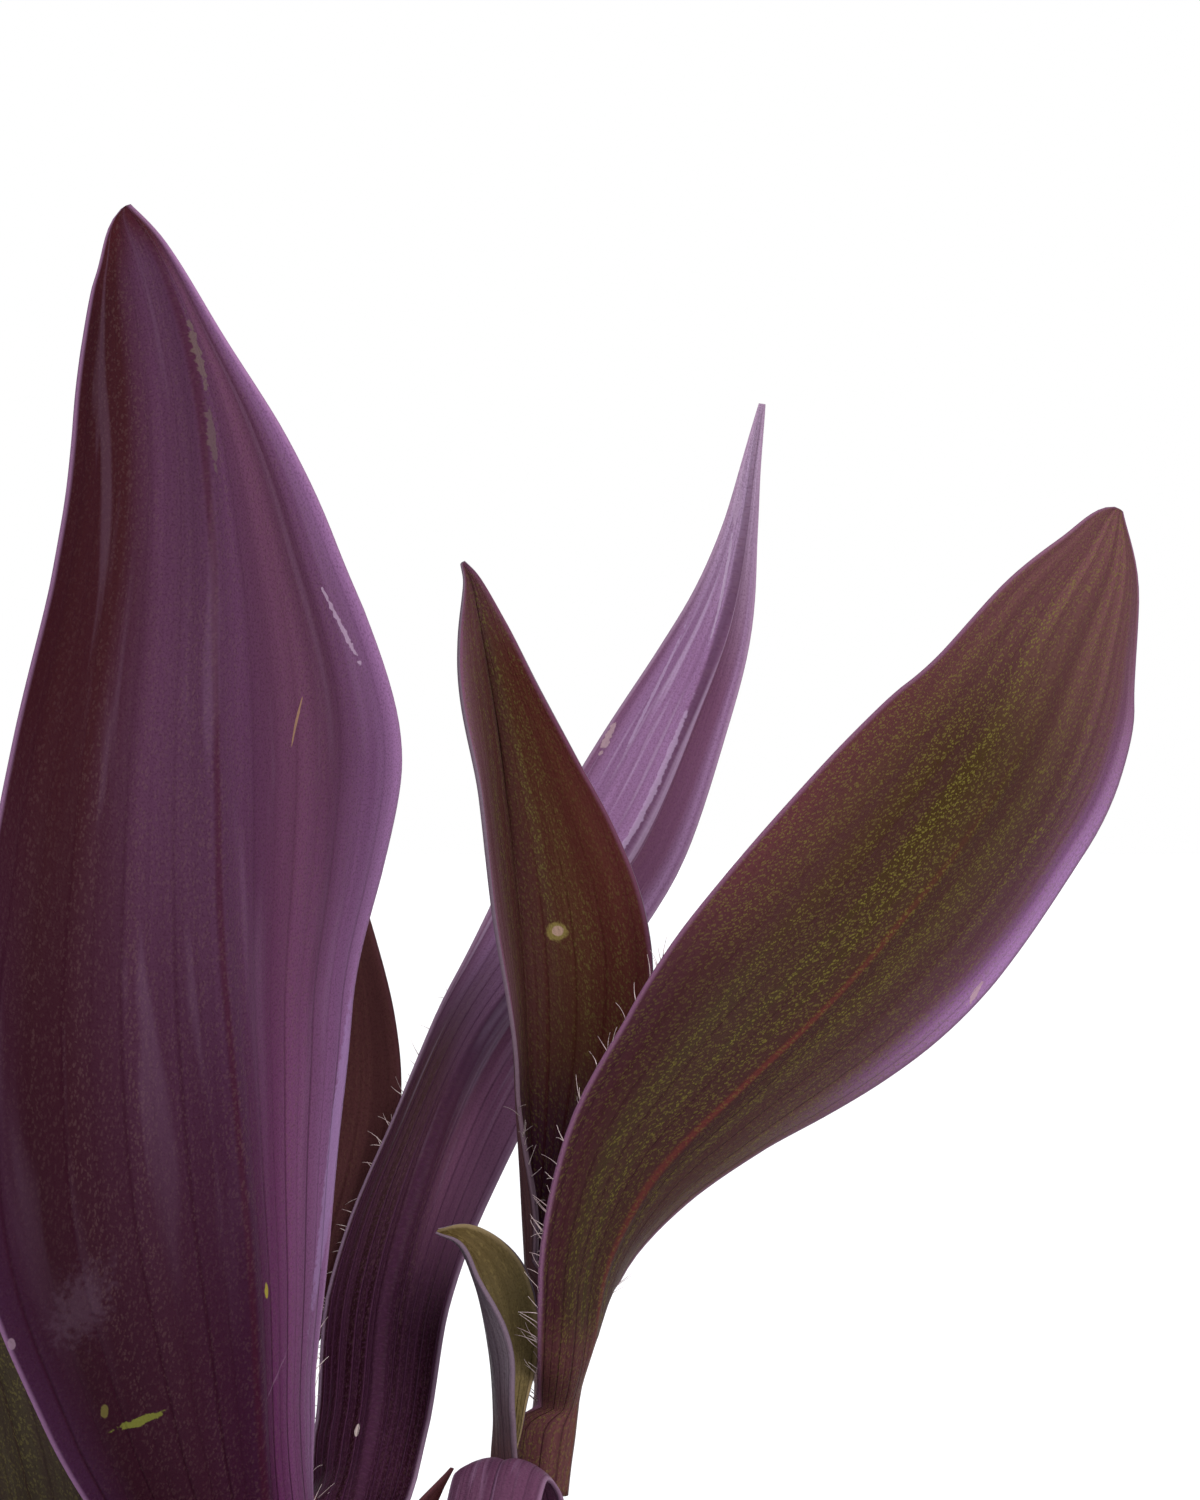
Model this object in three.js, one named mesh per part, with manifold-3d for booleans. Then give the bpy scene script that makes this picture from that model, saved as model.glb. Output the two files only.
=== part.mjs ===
// Potted purple heart, a trailing houseplant with purple strap leaves, in a plain clay pot.
// Millimetres, +Z up, origin at the middle of the pot's foot.
import * as THREE from "three";
import { mergeVertices } from "three/addons/utils/BufferGeometryUtils.js";
import Module from "manifold-3d";

// Driving dimensions
const GAP = 0.3; // between pieces that rest on each other
const POT = {
  height: 97,
  footRadius: 39,
  shoulderRadius: 51, // of the wall under the rim band
  bandHeight: 23,
  bandRadius: 55,
  rimRadius: 57,
  wall: 5,
  floor: 6,
  round: 1.5,
  drains: 3,
  drainRadius: 4.5,
  drainRing: 19,
  drainSides: 16,
  sides: 48,
};
const SOIL = { height: 84, swell: 1.6, dip: 2, shoulder: 4, rings: 5, sides: 32 };
const STEM = { sides: 10, steps: 9 };
const LEAF = {
  thickness: 0.8,
  clear: 0.5, // between a sheath and the stem inside it
  sheath: 7, // length of the tube that clasps the stem
  mouth: 3.2, // length over which the tube opens into the blade
  flare: 0.1,
  closedWrap: 0.94, // share of the stem's round that the sheath of a shaped leaf clasps
  openWrap: 0.62, // and that of a plain leaf
  neck: 1.15, // half width of a plain blade at its neck, in sheath radii
  neckFade: 4,
  turn: 0.27, // share of the blade over which it turns to face its own way
  settle: 0.25, // share of the blade over which the neck's bend fades
  tip: 0.3, // least half width
  fold: [6, 16, 16], // crease along the midrib in degrees, neck to tip
  curl: [40, 22, 16], // bend from midrib to edge in degrees, neck to tip
  archPoints: 5,
  archSteps: 4,
  steps: 8,
  extraSteps: 3,
  crowd: 1.3, // how much closer the steps lie towards the tip
  sides: 6,
  shapedSides: 8,
};
// Half width of a plain blade from neck to tip, as a share of its widest
const BLADE = [0.36, 0.62, 0.82, 0.95, 1, 0.98, 0.88, 0.68, 0.4, 0.04];

const PURPLE = 0x5a3454;
const VIOLET = 0x6d4466;
const GREY_VIOLET = 0x503947;
const OLIVE = 0x4f3e2b;
const DARK = 0x3f262c;
const CLAY = 0xa9603f;
const PEAT = 0x2e2219;

// Shoots: a stem's axis, its radius at foot and tip, and its leaves. A leaf's "at" is how far up
// the stem its sheath starts and "toward" the compass angle of its back, from +X towards +Y.
// "through" lists the midrib's points and "face" the way its upper side looks, neck to tip.
// "halves" are the blade's half widths on either side of the midrib, neck to tip, and "blunt" the
// sides that round off at the tip.
// Plain leaves have a length, a width and the midrib's lift above level in degrees instead.
const SHOOTS = [
  {
    name: "left",
    path: [[-16, -8, 60], [-18, -8, 94], [-22, -8, 120], [-22, -6, 146], [-25, 3.5, 170.5]],
    radius: [3.6, 1.6],
    leaves: [
      { name: "low_left", at: 31, toward: 195, length: 90, width: 27, lift: [60, 18, -32], sway: 12 },
      { name: "low_front", at: 48, toward: -72, length: 74, width: 24, lift: [58, 12, -40], sway: -14 },
      {
        name: "hidden_tip", at: 64, toward: -20, color: DARK,
        through: [[-13.8, -11, 142], [-11.4, -11.4, 152], [-8.5, -11, 161.5], [-4.4, -11, 169.6]],
        face: [[-0.7, 0.5, 0.4], [-0.7, 0.4, 0.5]],
        fold: [10, 20, 20], curl: [50, 30, 30],
        halves: [[4, 5, 5.6, 4.4, 2.6, 0.3], [4, 5, 5.6, 4.4, 2.6, 0.3]],
      },
      {
        name: "tall_front", at: 77, toward: -100, color: PURPLE,
        through: [
          [-20.5, -24, 155], [-21.6, -36, 170], [-22, -47, 190], [-23, -52, 205], [-24.2, -54, 222],
          [-25, -53, 240], [-25.4, -49, 256], [-26.8, -44, 271], [-29, -40, 280], [-31.7, -37, 286.6],
          [-34.5, -34, 291],
        ],
        face: [[-0.6, 0.8, 0.3], [-0.66, 0.75, 0.2], [-0.6, 0.8, 0.1], [-0.38, 0.92, 0], [-0.15, 0.98, 0]],
        fold: [14, 18, 20, 20, 10], curl: [20, 8, 5, 6, 10], blunt: [1],
        halves: [
          [4.2, 7.3, 9.5, 12, 15.2, 20, 24.8, 24, 14.6, 4.4, 0.5],
          [4.2, 5.6, 13, 20, 24.2, 24, 20.6, 16.8, 12.9, 10.4, 0.5],
        ],
      },
      {
        name: "slim_back", at: 89.2, toward: -40, color: VIOLET,
        through: [
          [-15.8, -7, 162], [-12.8, 1, 172], [-11.5, 8, 184.5], [-8.2, 14, 197], [-2.8, 19, 209.6],
          [5.8, 25, 221], [13.4, 30, 230.5], [19.5, 33, 243.7], [23.3, 34, 253.8], [25.3, 34, 263.3],
          [26.3, 33, 270.7], [27.2, 33, 276.7],
        ],
        face: [[0.2, 0.95, 0.3], [0.2, 0.95, 0.2], [0.35, 0.9, 0.2], [0.1, 1, 0.2], [-0.1, 0.97, 0.1]],
        fold: [24, 26, 28, 28, 20], curl: [30, 10, 5, 5, 5], settle: 0.1, turn: 0.12,
        halves: [
          [4.2, 5.4, 6.2, 7.2, 8.4, 9, 7.8, 6, 4.1, 1.8, 0.35],
          [4.6, 7.4, 8.6, 8, 6.8, 7.6, 10.2, 9.8, 6.7, 2.7, 0.35],
        ],
      },
      {
        name: "young_back", at: 103.5, toward: 115, color: DARK, sheath: 6,
        through: [[-26, 14, 178], [-24.4, 22, 192], [-22.4, 26.5, 208], [-22.2, 30, 226], [-22.5, 31, 244.9]],
        face: [[0.5, -0.85, 0.2], [0.4, -0.9, 0.1]],
        fold: [10, 14, 14], curl: [40, 25, 15],
        halves: [
          [3.6, 6, 8.2, 10, 11.2, 12, 11.3, 9.4, 6.8, 3.6, 0.3],
          [3.6, 6, 8.2, 10, 11.6, 12, 10.8, 8.6, 6, 3.2, 0.3],
        ],
      },
    ],
  },
  {
    name: "middle",
    path: [[13, 2, 60], [12, 2, 96], [6, 0, 130], [3.6, 0, 162], [5, 0.5, 176], [5.2, 1.5, 186]],
    radius: [3.5, 1.3],
    leaves: [
      { name: "low_back", at: 31, toward: 128, length: 66, width: 23, lift: [62, 35, -10] },
      { name: "low_right", at: 48, toward: -52, length: 72, width: 24, lift: [54, 10, -35], sway: 26 },
      { name: "mid_back", at: 66, toward: 105, length: 56, width: 22, lift: [46, 10, -25], sway: 20 },
      {
        name: "bent_front", at: 83, toward: -110, color: GREY_VIOLET,
        through: [
          [3.6, -9.5, 160.5], [2, -14.6, 168.4], [0.6, -21, 171.3], [-0.6, -29, 168], [-1.8, -36.5, 161],
          [-3, -42, 152],
        ],
        face: [[0, 1, 0.3], [0, 0.2, 1], [0, -0.6, 0.8], [0, -0.9, 0.4]],
        fold: [0, 0, 0, 8], curl: [50, -28, -34, -10],
        halves: [[3.6, 4, 4.4, 4.7, 4.7, 4.5, 3.8, 2.4, 0.3], [3.6, 4, 4.4, 4.7, 4.7, 4.5, 3.8, 2.4, 0.3]],
      },
      {
        name: "small_hook", at: 96, toward: 215, color: OLIVE, sheath: 6,
        through: [
          [-0.3, -4.9, 167.5], [0, -5.5, 174], [-0.4, -5.5, 180.5], [-1.9, -5, 187.4], [-3.8, -5, 191],
          [-6.2, -4.6, 192.2],
        ],
        face: [[0.9, 0.3, 0.1], [1, -0.5, 0.3], [0.7, -0.8, 0.6]],
        fold: [6, 10, 10], curl: [50, 76, 60],
        halves: [[2.4, 3.4, 4.4, 5, 3.6, 0.4], [2.4, 2.5, 3.3, 5, 4.9, 0.4]],
      },
      {
        name: "broad_right", at: 106.5, toward: -25, color: OLIVE, sheath: 6,
        through: [
          [8.8, -5.5, 181], [10.4, -7.6, 189.5], [15, -9, 198], [22.6, -9, 205.8], [33.5, -6, 216.3],
          [42.9, -2, 226.9], [51.5, 4, 239], [57.6, 10, 252], [61.6, 14, 259.5], [63.4, 16, 264.8],
        ],
        face: [[-0.6, 0.6, 0.2], [-0.4, 0.9, 0.3], [-0.3, 0.95, 0.3], [-0.3, 0.95, 0.2]],
        fold: [0, 8, 8, 8], curl: [40, 22, 20, 20, 24], settle: 0.13, blunt: [1],
        halves: [
          [4, 5.4, 7, 9.4, 12.9, 15.6, 16.8, 17, 15.8, 11.8, 0.6],
          [4, 6.6, 9, 12.6, 15.6, 16.4, 16, 14.4, 11, 7.2, 0.5],
        ],
      },
      {
        name: "upright_middle", at: 120.2, toward: 150, color: OLIVE, sheath: 5.5,
        through: [
          [2.9, 5, 193], [2.7, 7, 202], [2.1, 9, 214.6], [1.3, 10, 225.3], [0.3, 10, 234.9],
          [-0.8, 9, 243.6], [-2.3, 7, 252.2], [-3.2, 5.5, 257.2], [-3.9, 4.5, 258.9],
        ],
        face: [[0.4, -0.9, 0], [0.62, -0.77, 0], [0.6, -0.8, 0], [0.42, -0.9, 0.1]],
        fold: [20, 26, 26, 24], curl: [50, 25, 20, 15],
        halves: [
          [3.4, 4.6, 5, 5.4, 6, 7.5, 8.6, 8.4, 6.8, 4, 0.3],
          [3.4, 6, 9.1, 12.2, 13.6, 13, 10.8, 7.9, 5.2, 3, 0.3],
        ],
      },
    ],
  },
  {
    name: "back_left",
    path: [[-30, 17, 60], [-32, 18, 92], [-36, 21, 112], [-39, 24, 136]],
    radius: [3.2, 2],
    leaves: [
      { name: "low_back", at: 30, toward: 80, length: 80, width: 25, lift: [60, 24, -25], sway: 50 },
      { name: "low_left", at: 47, toward: -140, length: 84, width: 25, lift: [58, 10, -42], sway: -24 },
      {
        name: "corner", at: 64, toward: 140, color: OLIVE,
        through: [[-47, 29, 146], [-50, 28, 161], [-54, 25, 178], [-59, 21, 195], [-66, 17, 211]],
        face: [[0.5, -0.85, 0.2], [0.4, -0.9, 0.3], [0.3, -0.9, 0.4]],
        fold: [14, 18, 18], curl: [30, 14, 10],
        halves: [[4, 8.5, 11.5, 13, 13, 11.5, 8.5, 4.5, 0.4], [4, 8.5, 11.5, 13, 13, 11.5, 8.5, 4.5, 0.4]],
      },
    ],
  },
  {
    name: "back",
    path: [[2, 32, 60], [2, 33, 92], [4, 37, 112], [8, 43, 132]],
    radius: [3.2, 1.9],
    leaves: [
      { name: "low", at: 30, toward: 140, length: 78, width: 25, lift: [58, 16, -35], sway: -60 },
      { name: "mid", at: 46, toward: -10, length: 58, width: 21, lift: [60, 35, 0], sway: 60 },
      { name: "top", at: 64, toward: 95, length: 52, width: 18, lift: [50, 22, -8], sway: 20 },
    ],
  },
  {
    name: "back_right",
    path: [[31, 14, 60], [32, 15, 92], [38, 18, 110], [47, 22, 125]],
    radius: [3.3, 1.9],
    leaves: [
      { name: "low", at: 30, toward: 0, length: 84, width: 25, lift: [52, 8, -48], sway: 10 },
      { name: "mid", at: 46, toward: 115, length: 70, width: 22, lift: [52, 10, -35], sway: -60 },
      { name: "top", at: 65, toward: 20, length: 58, width: 20, lift: [44, 22, -8] },
    ],
  },
  {
    name: "front_right",
    path: [[26, -21, 60], [28, -22, 92], [37, -29, 107], [53, -42, 113], [69, -55, 108]],
    radius: [3.3, 1.9],
    leaves: [
      { name: "low", at: 29, toward: -127, length: 67, width: 23, lift: [54, 10, -44], sway: 47 },
      { name: "mid", at: 48, toward: 50, length: 56, width: 20, lift: [48, 12, -35], sway: -60 },
      { name: "far", at: 66, toward: -125, length: 56, width: 19, lift: [40, 0, -45], sway: 30 },
      { name: "tip", at: 86, toward: 40, length: 46, width: 17, lift: [30, 12, -25], sway: -50 },
    ],
  },
  {
    name: "front_left",
    path: [[-9, -32, 60], [-10, -33, 92], [-14, -39, 107], [-22, -50, 117]],
    radius: [3.1, 1.9],
    leaves: [
      { name: "low", at: 29, toward: 165, length: 72, width: 22, lift: [50, 2, -48], sway: 40 },
      { name: "mid", at: 44, toward: -58, length: 56, width: 19, lift: [40, -8, -50], sway: -40 },
      { name: "top", at: 63, toward: -140, length: 54, width: 18, lift: [30, 12, -30], sway: -10 },
    ],
  },
];

const vector = ([x, y, z]) => new THREE.Vector3(x, y, z);
const radians = THREE.MathUtils.degToRad;
const mix = THREE.MathUtils.lerp;
const ease = (x) => THREE.MathUtils.smoothstep(x, 0, 1);

// Eased value of a list of numbers spread evenly over 0 to 1
function along(list, t) {
  const x = t * (list.length - 1);
  const i = Math.min(list.length - 2, Math.floor(x));
  return mix(list[i], list[i + 1], ease(x - i));
}

// Smooth curve through a list of numbers spread evenly over 0 to 1
function smooth(list, t) {
  const n = list.length;
  const past = (end, next) => 2 * end - next;
  const heights = [past(list[0], list[1]), ...list, past(list[n - 1], list[n - 2])];
  const curve = new THREE.SplineCurve(heights.map((y, i) => new THREE.Vector2(i, y)));
  return curve.getPoint((1 + t * (n - 1)) / (n + 1)).y;
}

// Direction that turns through a list of directions spread evenly over 0 to 1
function turning(list, t) {
  const parts = [0, 1, 2].map((axis) => along(list.map((row) => row[axis]), t));
  return vector(parts).normalize();
}

function indexed(points, faces) {
  const geometry = new THREE.BufferGeometry().setFromPoints(points);
  geometry.setIndex(faces);
  return geometry;
}

// Solid skinned over rings of points, closed by a lid over the first and the last ring
function skinned(rings) {
  const sides = rings[0].length;
  const points = rings.flat();
  const faces = [];
  const next = (j) => (j + 1) % sides;
  for (let i = 0; i + 1 < rings.length; i++)
    for (let j = 0; j < sides; j++) {
      const a = i * sides + j;
      const b = i * sides + next(j);
      faces.push(a, b, a + sides, b, b + sides, a + sides);
    }
  for (const start of [0, (rings.length - 1) * sides]) {
    const hub = new THREE.Vector3();
    for (let j = 0; j < sides; j++) hub.addScaledVector(points[start + j], 1 / sides);
    points.push(hub);
    for (let j = 0; j < sides; j++) {
      const rim = [start + j, start + next(j)];
      if (start === 0) rim.reverse();
      faces.push(points.length - 1, ...rim);
    }
  }
  return indexed(points, faces);
}

// Closed sheet between two grids of points, cut into triangles alike on both faces
function sheet(upper, lower) {
  const rows = upper.length;
  const columns = upper[0].length;
  const under = rows * columns;
  const faces = [];
  for (let i = 0; i + 1 < rows; i++)
    for (let j = 0; j + 1 < columns; j++) {
      const a = i * columns + j;
      const b = a + 1;
      const c = a + columns;
      const d = c + 1;
      faces.push(a, b, c, b, d, c);
      faces.push(under + a, under + c, under + b, under + b, under + c, under + d);
    }
  const rim = [];
  for (let j = 0; j + 1 < columns; j++) rim.push(j);
  for (let i = 0; i + 1 < rows; i++) rim.push(i * columns + columns - 1);
  for (let j = columns - 1; j > 0; j--) rim.push((rows - 1) * columns + j);
  for (let i = rows - 1; i > 0; i--) rim.push(i * columns);
  rim.forEach((a, k) => {
    const b = rim[(k + 1) % rim.length];
    faces.push(a, under + a, b, b, under + a, under + b);
  });
  return indexed([...upper.flat(), ...lower.flat()], faces);
}

// Round rod along a curve, with a radius that changes from foot to tip
function rod(curve, radiusAt) {
  const { normals, binormals } = curve.computeFrenetFrames(STEM.steps, false);
  const rings = normals.map((normal, i) => {
    const share = i / STEM.steps;
    const ring = [];
    for (let j = 0; j < STEM.sides; j++) {
      const turn = (2 * Math.PI * j) / STEM.sides;
      const point = curve.getPointAt(share);
      point.addScaledVector(normal, radiusAt(share) * Math.cos(turn));
      point.addScaledVector(binormals[i], radiusAt(share) * Math.sin(turn));
      ring.push(point);
    }
    return ring;
  });
  return skinned(rings);
}

// Solids for cutting
const wasm = await Module();
wasm.setup();

function solid(geometry) {
  const bare = geometry.clone().deleteAttribute("normal").deleteAttribute("uv");
  const merged = mergeVertices(bare, 1e-4);
  const mesh = new wasm.Mesh({
    numProp: 3,
    vertProperties: merged.attributes.position.array,
    triVerts: new Uint32Array(merged.index.array),
  });
  return new wasm.Manifold(mesh);
}

function geometryOf(cut) {
  const { vertProperties, triVerts } = cut.getMesh();
  const geometry = new THREE.BufferGeometry();
  geometry.setAttribute("position", new THREE.BufferAttribute(vertProperties, 3));
  geometry.setIndex(new THREE.BufferAttribute(triVerts, 1));
  return geometry;
}

function piece(name, geometry, color, roughness) {
  geometry.computeVertexNormals();
  const material = new THREE.MeshStandardMaterial({ color, roughness, metalness: 0 });
  const mesh = new THREE.Mesh(geometry, material);
  mesh.name = name;
  return mesh;
}

// Radius of the pot's inside at a height
function potInside(z) {
  const share = (z - POT.floor) / (POT.height - POT.floor);
  return mix(POT.footRadius, POT.rimRadius, share) - POT.wall;
}

// Pot: a tapered wall with a rim band, and drain holes through its floor
function pot() {
  const { height, round, floor } = POT;
  const band = height - POT.bandHeight;
  const profile = [
    [0, 0],
    [POT.footRadius - round, 0],
    [POT.footRadius, round],
    [POT.shoulderRadius, band],
    [POT.bandRadius, band + round],
    [POT.rimRadius, height - round],
    [POT.rimRadius - round, height],
    [potInside(height) + round, height],
    [potInside(height), height - round],
    [potInside(floor), floor],
    [0, floor],
  ];
  const outline = profile.map(([r, z]) => new THREE.Vector2(r, z));
  let body = solid(new THREE.LatheGeometry(outline, POT.sides).rotateX(Math.PI / 2));
  for (let i = 0; i < POT.drains; i++) {
    const turn = (2 * Math.PI * (i + 0.5)) / POT.drains;
    const drain = new THREE.CylinderGeometry(POT.drainRadius, POT.drainRadius, 3 * floor, POT.drainSides);
    drain.rotateX(Math.PI / 2);
    drain.translate(POT.drainRing * Math.cos(turn), POT.drainRing * Math.sin(turn), 0);
    body = body.subtract(solid(drain));
  }
  return piece("pot", geometryOf(body), CLAY, 0.85);
}

// Soil: fills the pot up to a slightly uneven surface, with a plain hole for each stem
function soil(stems) {
  const ring = (share, radius, z) => {
    const points = [];
    for (let j = 0; j < SOIL.sides; j++) {
      const turn = (2 * Math.PI * j) / SOIL.sides;
      const swell = SOIL.swell * share * Math.sin(3 * turn + 4 * share) * Math.cos(2 * turn - 3 * share);
      points.push(new THREE.Vector3(radius * Math.cos(turn), radius * Math.sin(turn), z + swell));
    }
    return points;
  };
  const against = (z) => (potInside(z) - GAP) * Math.cos(Math.PI / POT.sides);
  const foot = POT.floor + GAP;
  const shoulder = SOIL.height - SOIL.shoulder;
  const rings = [ring(0, against(foot), foot), ring(0, against(shoulder), shoulder)];
  for (let i = SOIL.rings; i > 0; i--) {
    const share = i / SOIL.rings;
    rings.push(ring(share, against(shoulder) * share, SOIL.height - SOIL.dip * share ** 4));
  }
  let body = solid(skinned(rings));
  for (const stem of stems) body = body.subtract(solid(stem.hole));
  return piece("soil", geometryOf(body), PEAT, 1);
}

// Stem: its axis, its radius from foot to tip, its body and the hole it stands in
function stemOf({ path, radius }) {
  const curve = new THREE.CatmullRomCurve3(path.map(vector));
  const [[x, y, z]] = path;
  const holeCurve = new THREE.CatmullRomCurve3([[x, y, z - GAP], ...path].map(vector));
  const radiusAt = (share) => mix(radius[0], radius[1], share);
  return {
    curve,
    length: curve.getLength(),
    radiusAt,
    body: rod(curve, radiusAt),
    hole: rod(holeCurve, (share) => radiusAt(share) + 2 * GAP),
  };
}

// Level direction in which a leaf's back looks, at a share of the blade
function backOf(leaf, share) {
  const turn = radians(leaf.toward + (leaf.sway ?? 0) * share);
  return new THREE.Vector3(Math.cos(turn), Math.sin(turn), 0);
}

// Points of a plain leaf's midrib, which arches from its first lift angle over to its last
function archPoints(start, leaf) {
  const points = [];
  const place = start.clone();
  const steps = LEAF.archPoints * LEAF.archSteps;
  for (let k = 0; k < steps; k++) {
    const share = (k + 0.5) / steps;
    const lift = radians(along(leaf.lift, share));
    const step = backOf(leaf, share).multiplyScalar(Math.cos(lift));
    step.z = Math.sin(lift);
    place.addScaledVector(step, leaf.length / steps);
    if ((k + 1) % LEAF.archSteps === 0) points.push(place.clone());
  }
  return points;
}

// Where the sheath of a leaf clasps its stem
function claspOf(stem, leaf) {
  const radius = stem.radiusAt(leaf.at / stem.length) + LEAF.clear + LEAF.thickness / 2;
  const shareAt = (distance) => Math.min(1, (leaf.at + distance) / stem.length);
  const outward = (distance) => {
    const tangent = stem.curve.getTangentAt(shareAt(distance));
    const back = backOf(leaf, 0);
    return back.addScaledVector(tangent, -back.dot(tangent)).normalize();
  };
  const point = (distance) =>
    stem.curve.getPointAt(shareAt(distance)).addScaledVector(outward(distance), radius);
  return { radius, outward, point };
}

// Leaf: a sheath round the stem that opens through a mouth into a folded, curled blade
function leafGeometry(stem, leaf) {
  const shaped = leaf.halves !== undefined;
  const sheath = leaf.sheath ?? LEAF.sheath;
  const neckAt = sheath + LEAF.mouth;
  const clasp = claspOf(stem, leaf);
  const onStem = [0, sheath / 2, sheath, neckAt].map(clasp.point);
  const free = leaf.through ? leaf.through.map(vector) : archPoints(onStem[3], leaf);
  const midrib = new THREE.CatmullRomCurve3([...onStem, ...free]);
  const length = midrib.getLength();
  const blade = length - neckAt;

  const wrap = Math.PI * (shaped ? LEAF.closedWrap : LEAF.openWrap);
  const sides = shaped ? LEAF.shapedSides : LEAF.sides;
  const steps = shaped ? leaf.halves[0].length + LEAF.extraSteps : LEAF.steps;
  const plainNeck = LEAF.neck * clasp.radius;
  const neck = shaped ? leaf.halves[0][0] : plainNeck;

  const stations = [0, sheath, sheath + LEAF.mouth / 2, neckAt];
  for (let k = 1; k <= steps; k++) stations.push(neckAt + blade * (1 - (1 - k / steps) ** LEAF.crowd));

  const widthAt = (side, opened, share) => {
    if (opened < 1) return mix(wrap * clasp.radius, neck, ease(opened));
    if (shaped && leaf.blunt?.includes(side)) {
      const squares = leaf.halves[side].map((half) => half ** 2);
      return Math.sqrt(Math.max(LEAF.tip ** 2, smooth(squares, share)));
    }
    if (shaped) return Math.max(LEAF.tip, smooth(leaf.halves[side], share));
    return Math.max((smooth(BLADE, share) * leaf.width) / 2, plainNeck * (1 - LEAF.neckFade * share));
  };

  const upper = [];
  const lower = [];
  for (const distance of stations) {
    const opened = THREE.MathUtils.clamp((distance - sheath) / LEAF.mouth, 0, 1);
    const share = Math.max(0, (distance - neckAt) / blade);
    const point = midrib.getPointAt(Math.min(1, distance / length));
    const tangent = midrib.getTangentAt(Math.min(1, distance / length));
    const sideways = new THREE.Vector3(0, 0, 1).cross(backOf(leaf, share));
    const looks = leaf.face ? turning(leaf.face, share) : tangent.clone().cross(sideways);
    const turned = ease(share / (leaf.turn ?? LEAF.turn));
    const normal = clasp.outward(Math.min(distance, neckAt)).negate().lerp(looks, turned);
    normal.addScaledVector(tangent, -normal.dot(tangent)).normalize();
    const across = tangent.clone().cross(normal);
    const crease = radians(along(leaf.fold ?? LEAF.fold, share)) * turned;
    const curl = radians(along(leaf.curl ?? LEAF.curl, share));

    const upperRow = [];
    const lowerRow = [];
    for (let j = 0; j <= sides; j++) {
      const s = (2 * j) / sides - 1;
      const width = widthAt(s < 0 ? 0 : 1, opened, share);
      const clasping = Math.min(wrap, width / (clasp.radius * (1 + LEAF.flare * opened)));
      const bend = mix(clasping, curl, ease(share / (leaf.settle ?? LEAF.settle)));
      const slope = crease + bend * Math.abs(s);
      const out = (width * (Math.sin(slope) - Math.sin(crease))) / bend;
      const rise = (width * (Math.cos(crease) - Math.cos(slope))) / bend;
      const middle = point.clone().addScaledVector(across, Math.sign(s) * out).addScaledVector(normal, rise);
      const half = LEAF.thickness / 2 / (s === 0 ? Math.cos(crease) : 1);
      const skin = normal.clone().multiplyScalar(half * Math.cos(s === 0 ? 0 : slope));
      skin.addScaledVector(across, -Math.sign(s) * half * Math.sin(slope));
      upperRow.push(middle.clone().add(skin));
      lowerRow.push(middle.sub(skin));
    }
    upper.push(upperRow);
    lower.push(lowerRow);
  }
  return sheet(upper, lower);
}

const plant = new THREE.Group();
const stems = SHOOTS.map(stemOf);
plant.add(pot(), soil(stems));
SHOOTS.forEach((shoot, i) => {
  plant.add(piece(`stem_${shoot.name}`, stems[i].body, VIOLET, 0.6));
  for (const leaf of shoot.leaves) {
    const name = `leaf_${shoot.name}_${leaf.name}`;
    plant.add(piece(name, leafGeometry(stems[i], leaf), leaf.color ?? DARK, 0.5));
  }
});

export default plant;
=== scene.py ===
import math
import random

import bmesh
import bpy
import numpy as np
from mathutils import Matrix, Vector, noise


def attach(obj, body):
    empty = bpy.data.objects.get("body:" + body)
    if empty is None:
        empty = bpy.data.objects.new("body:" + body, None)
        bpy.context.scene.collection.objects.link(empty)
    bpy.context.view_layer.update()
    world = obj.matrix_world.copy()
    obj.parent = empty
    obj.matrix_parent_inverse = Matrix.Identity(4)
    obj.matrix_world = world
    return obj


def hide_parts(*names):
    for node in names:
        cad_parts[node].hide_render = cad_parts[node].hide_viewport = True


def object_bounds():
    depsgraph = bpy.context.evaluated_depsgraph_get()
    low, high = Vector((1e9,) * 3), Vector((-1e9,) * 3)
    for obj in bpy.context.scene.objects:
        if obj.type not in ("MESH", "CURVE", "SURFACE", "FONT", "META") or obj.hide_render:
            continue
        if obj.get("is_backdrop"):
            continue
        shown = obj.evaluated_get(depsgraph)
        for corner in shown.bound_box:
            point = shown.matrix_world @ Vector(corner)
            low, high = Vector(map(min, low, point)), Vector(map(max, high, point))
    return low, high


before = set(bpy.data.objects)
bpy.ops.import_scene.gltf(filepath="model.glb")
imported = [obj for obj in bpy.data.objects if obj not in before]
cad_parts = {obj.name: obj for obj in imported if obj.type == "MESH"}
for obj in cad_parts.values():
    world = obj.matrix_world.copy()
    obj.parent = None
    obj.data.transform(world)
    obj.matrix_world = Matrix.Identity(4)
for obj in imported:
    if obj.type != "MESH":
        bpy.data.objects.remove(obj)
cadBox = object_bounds()
mm = 0.001

# Camera and light
cameraLook = {"place": (0.010, -0.550, 0.240), "lens": 132, "sensor": 36}
studio = {
    "backdrop": (1, 1, 1),
    "bounce": (0.44, 0.44, 0.45),
    "floorReach": 12,
    "suns": [
        # name, heading, height in degrees, strength, softness in degrees, colour
        ("keyLight", 32, 30, 2.9, 40, (1, 0.985, 0.97)),
        ("fillLight", -50, 20, 1.3, 80, (0.96, 0.97, 1)),
        ("topLight", 170, 70, 1.0, 60, (1, 1, 1)),
    ],
}


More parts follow.
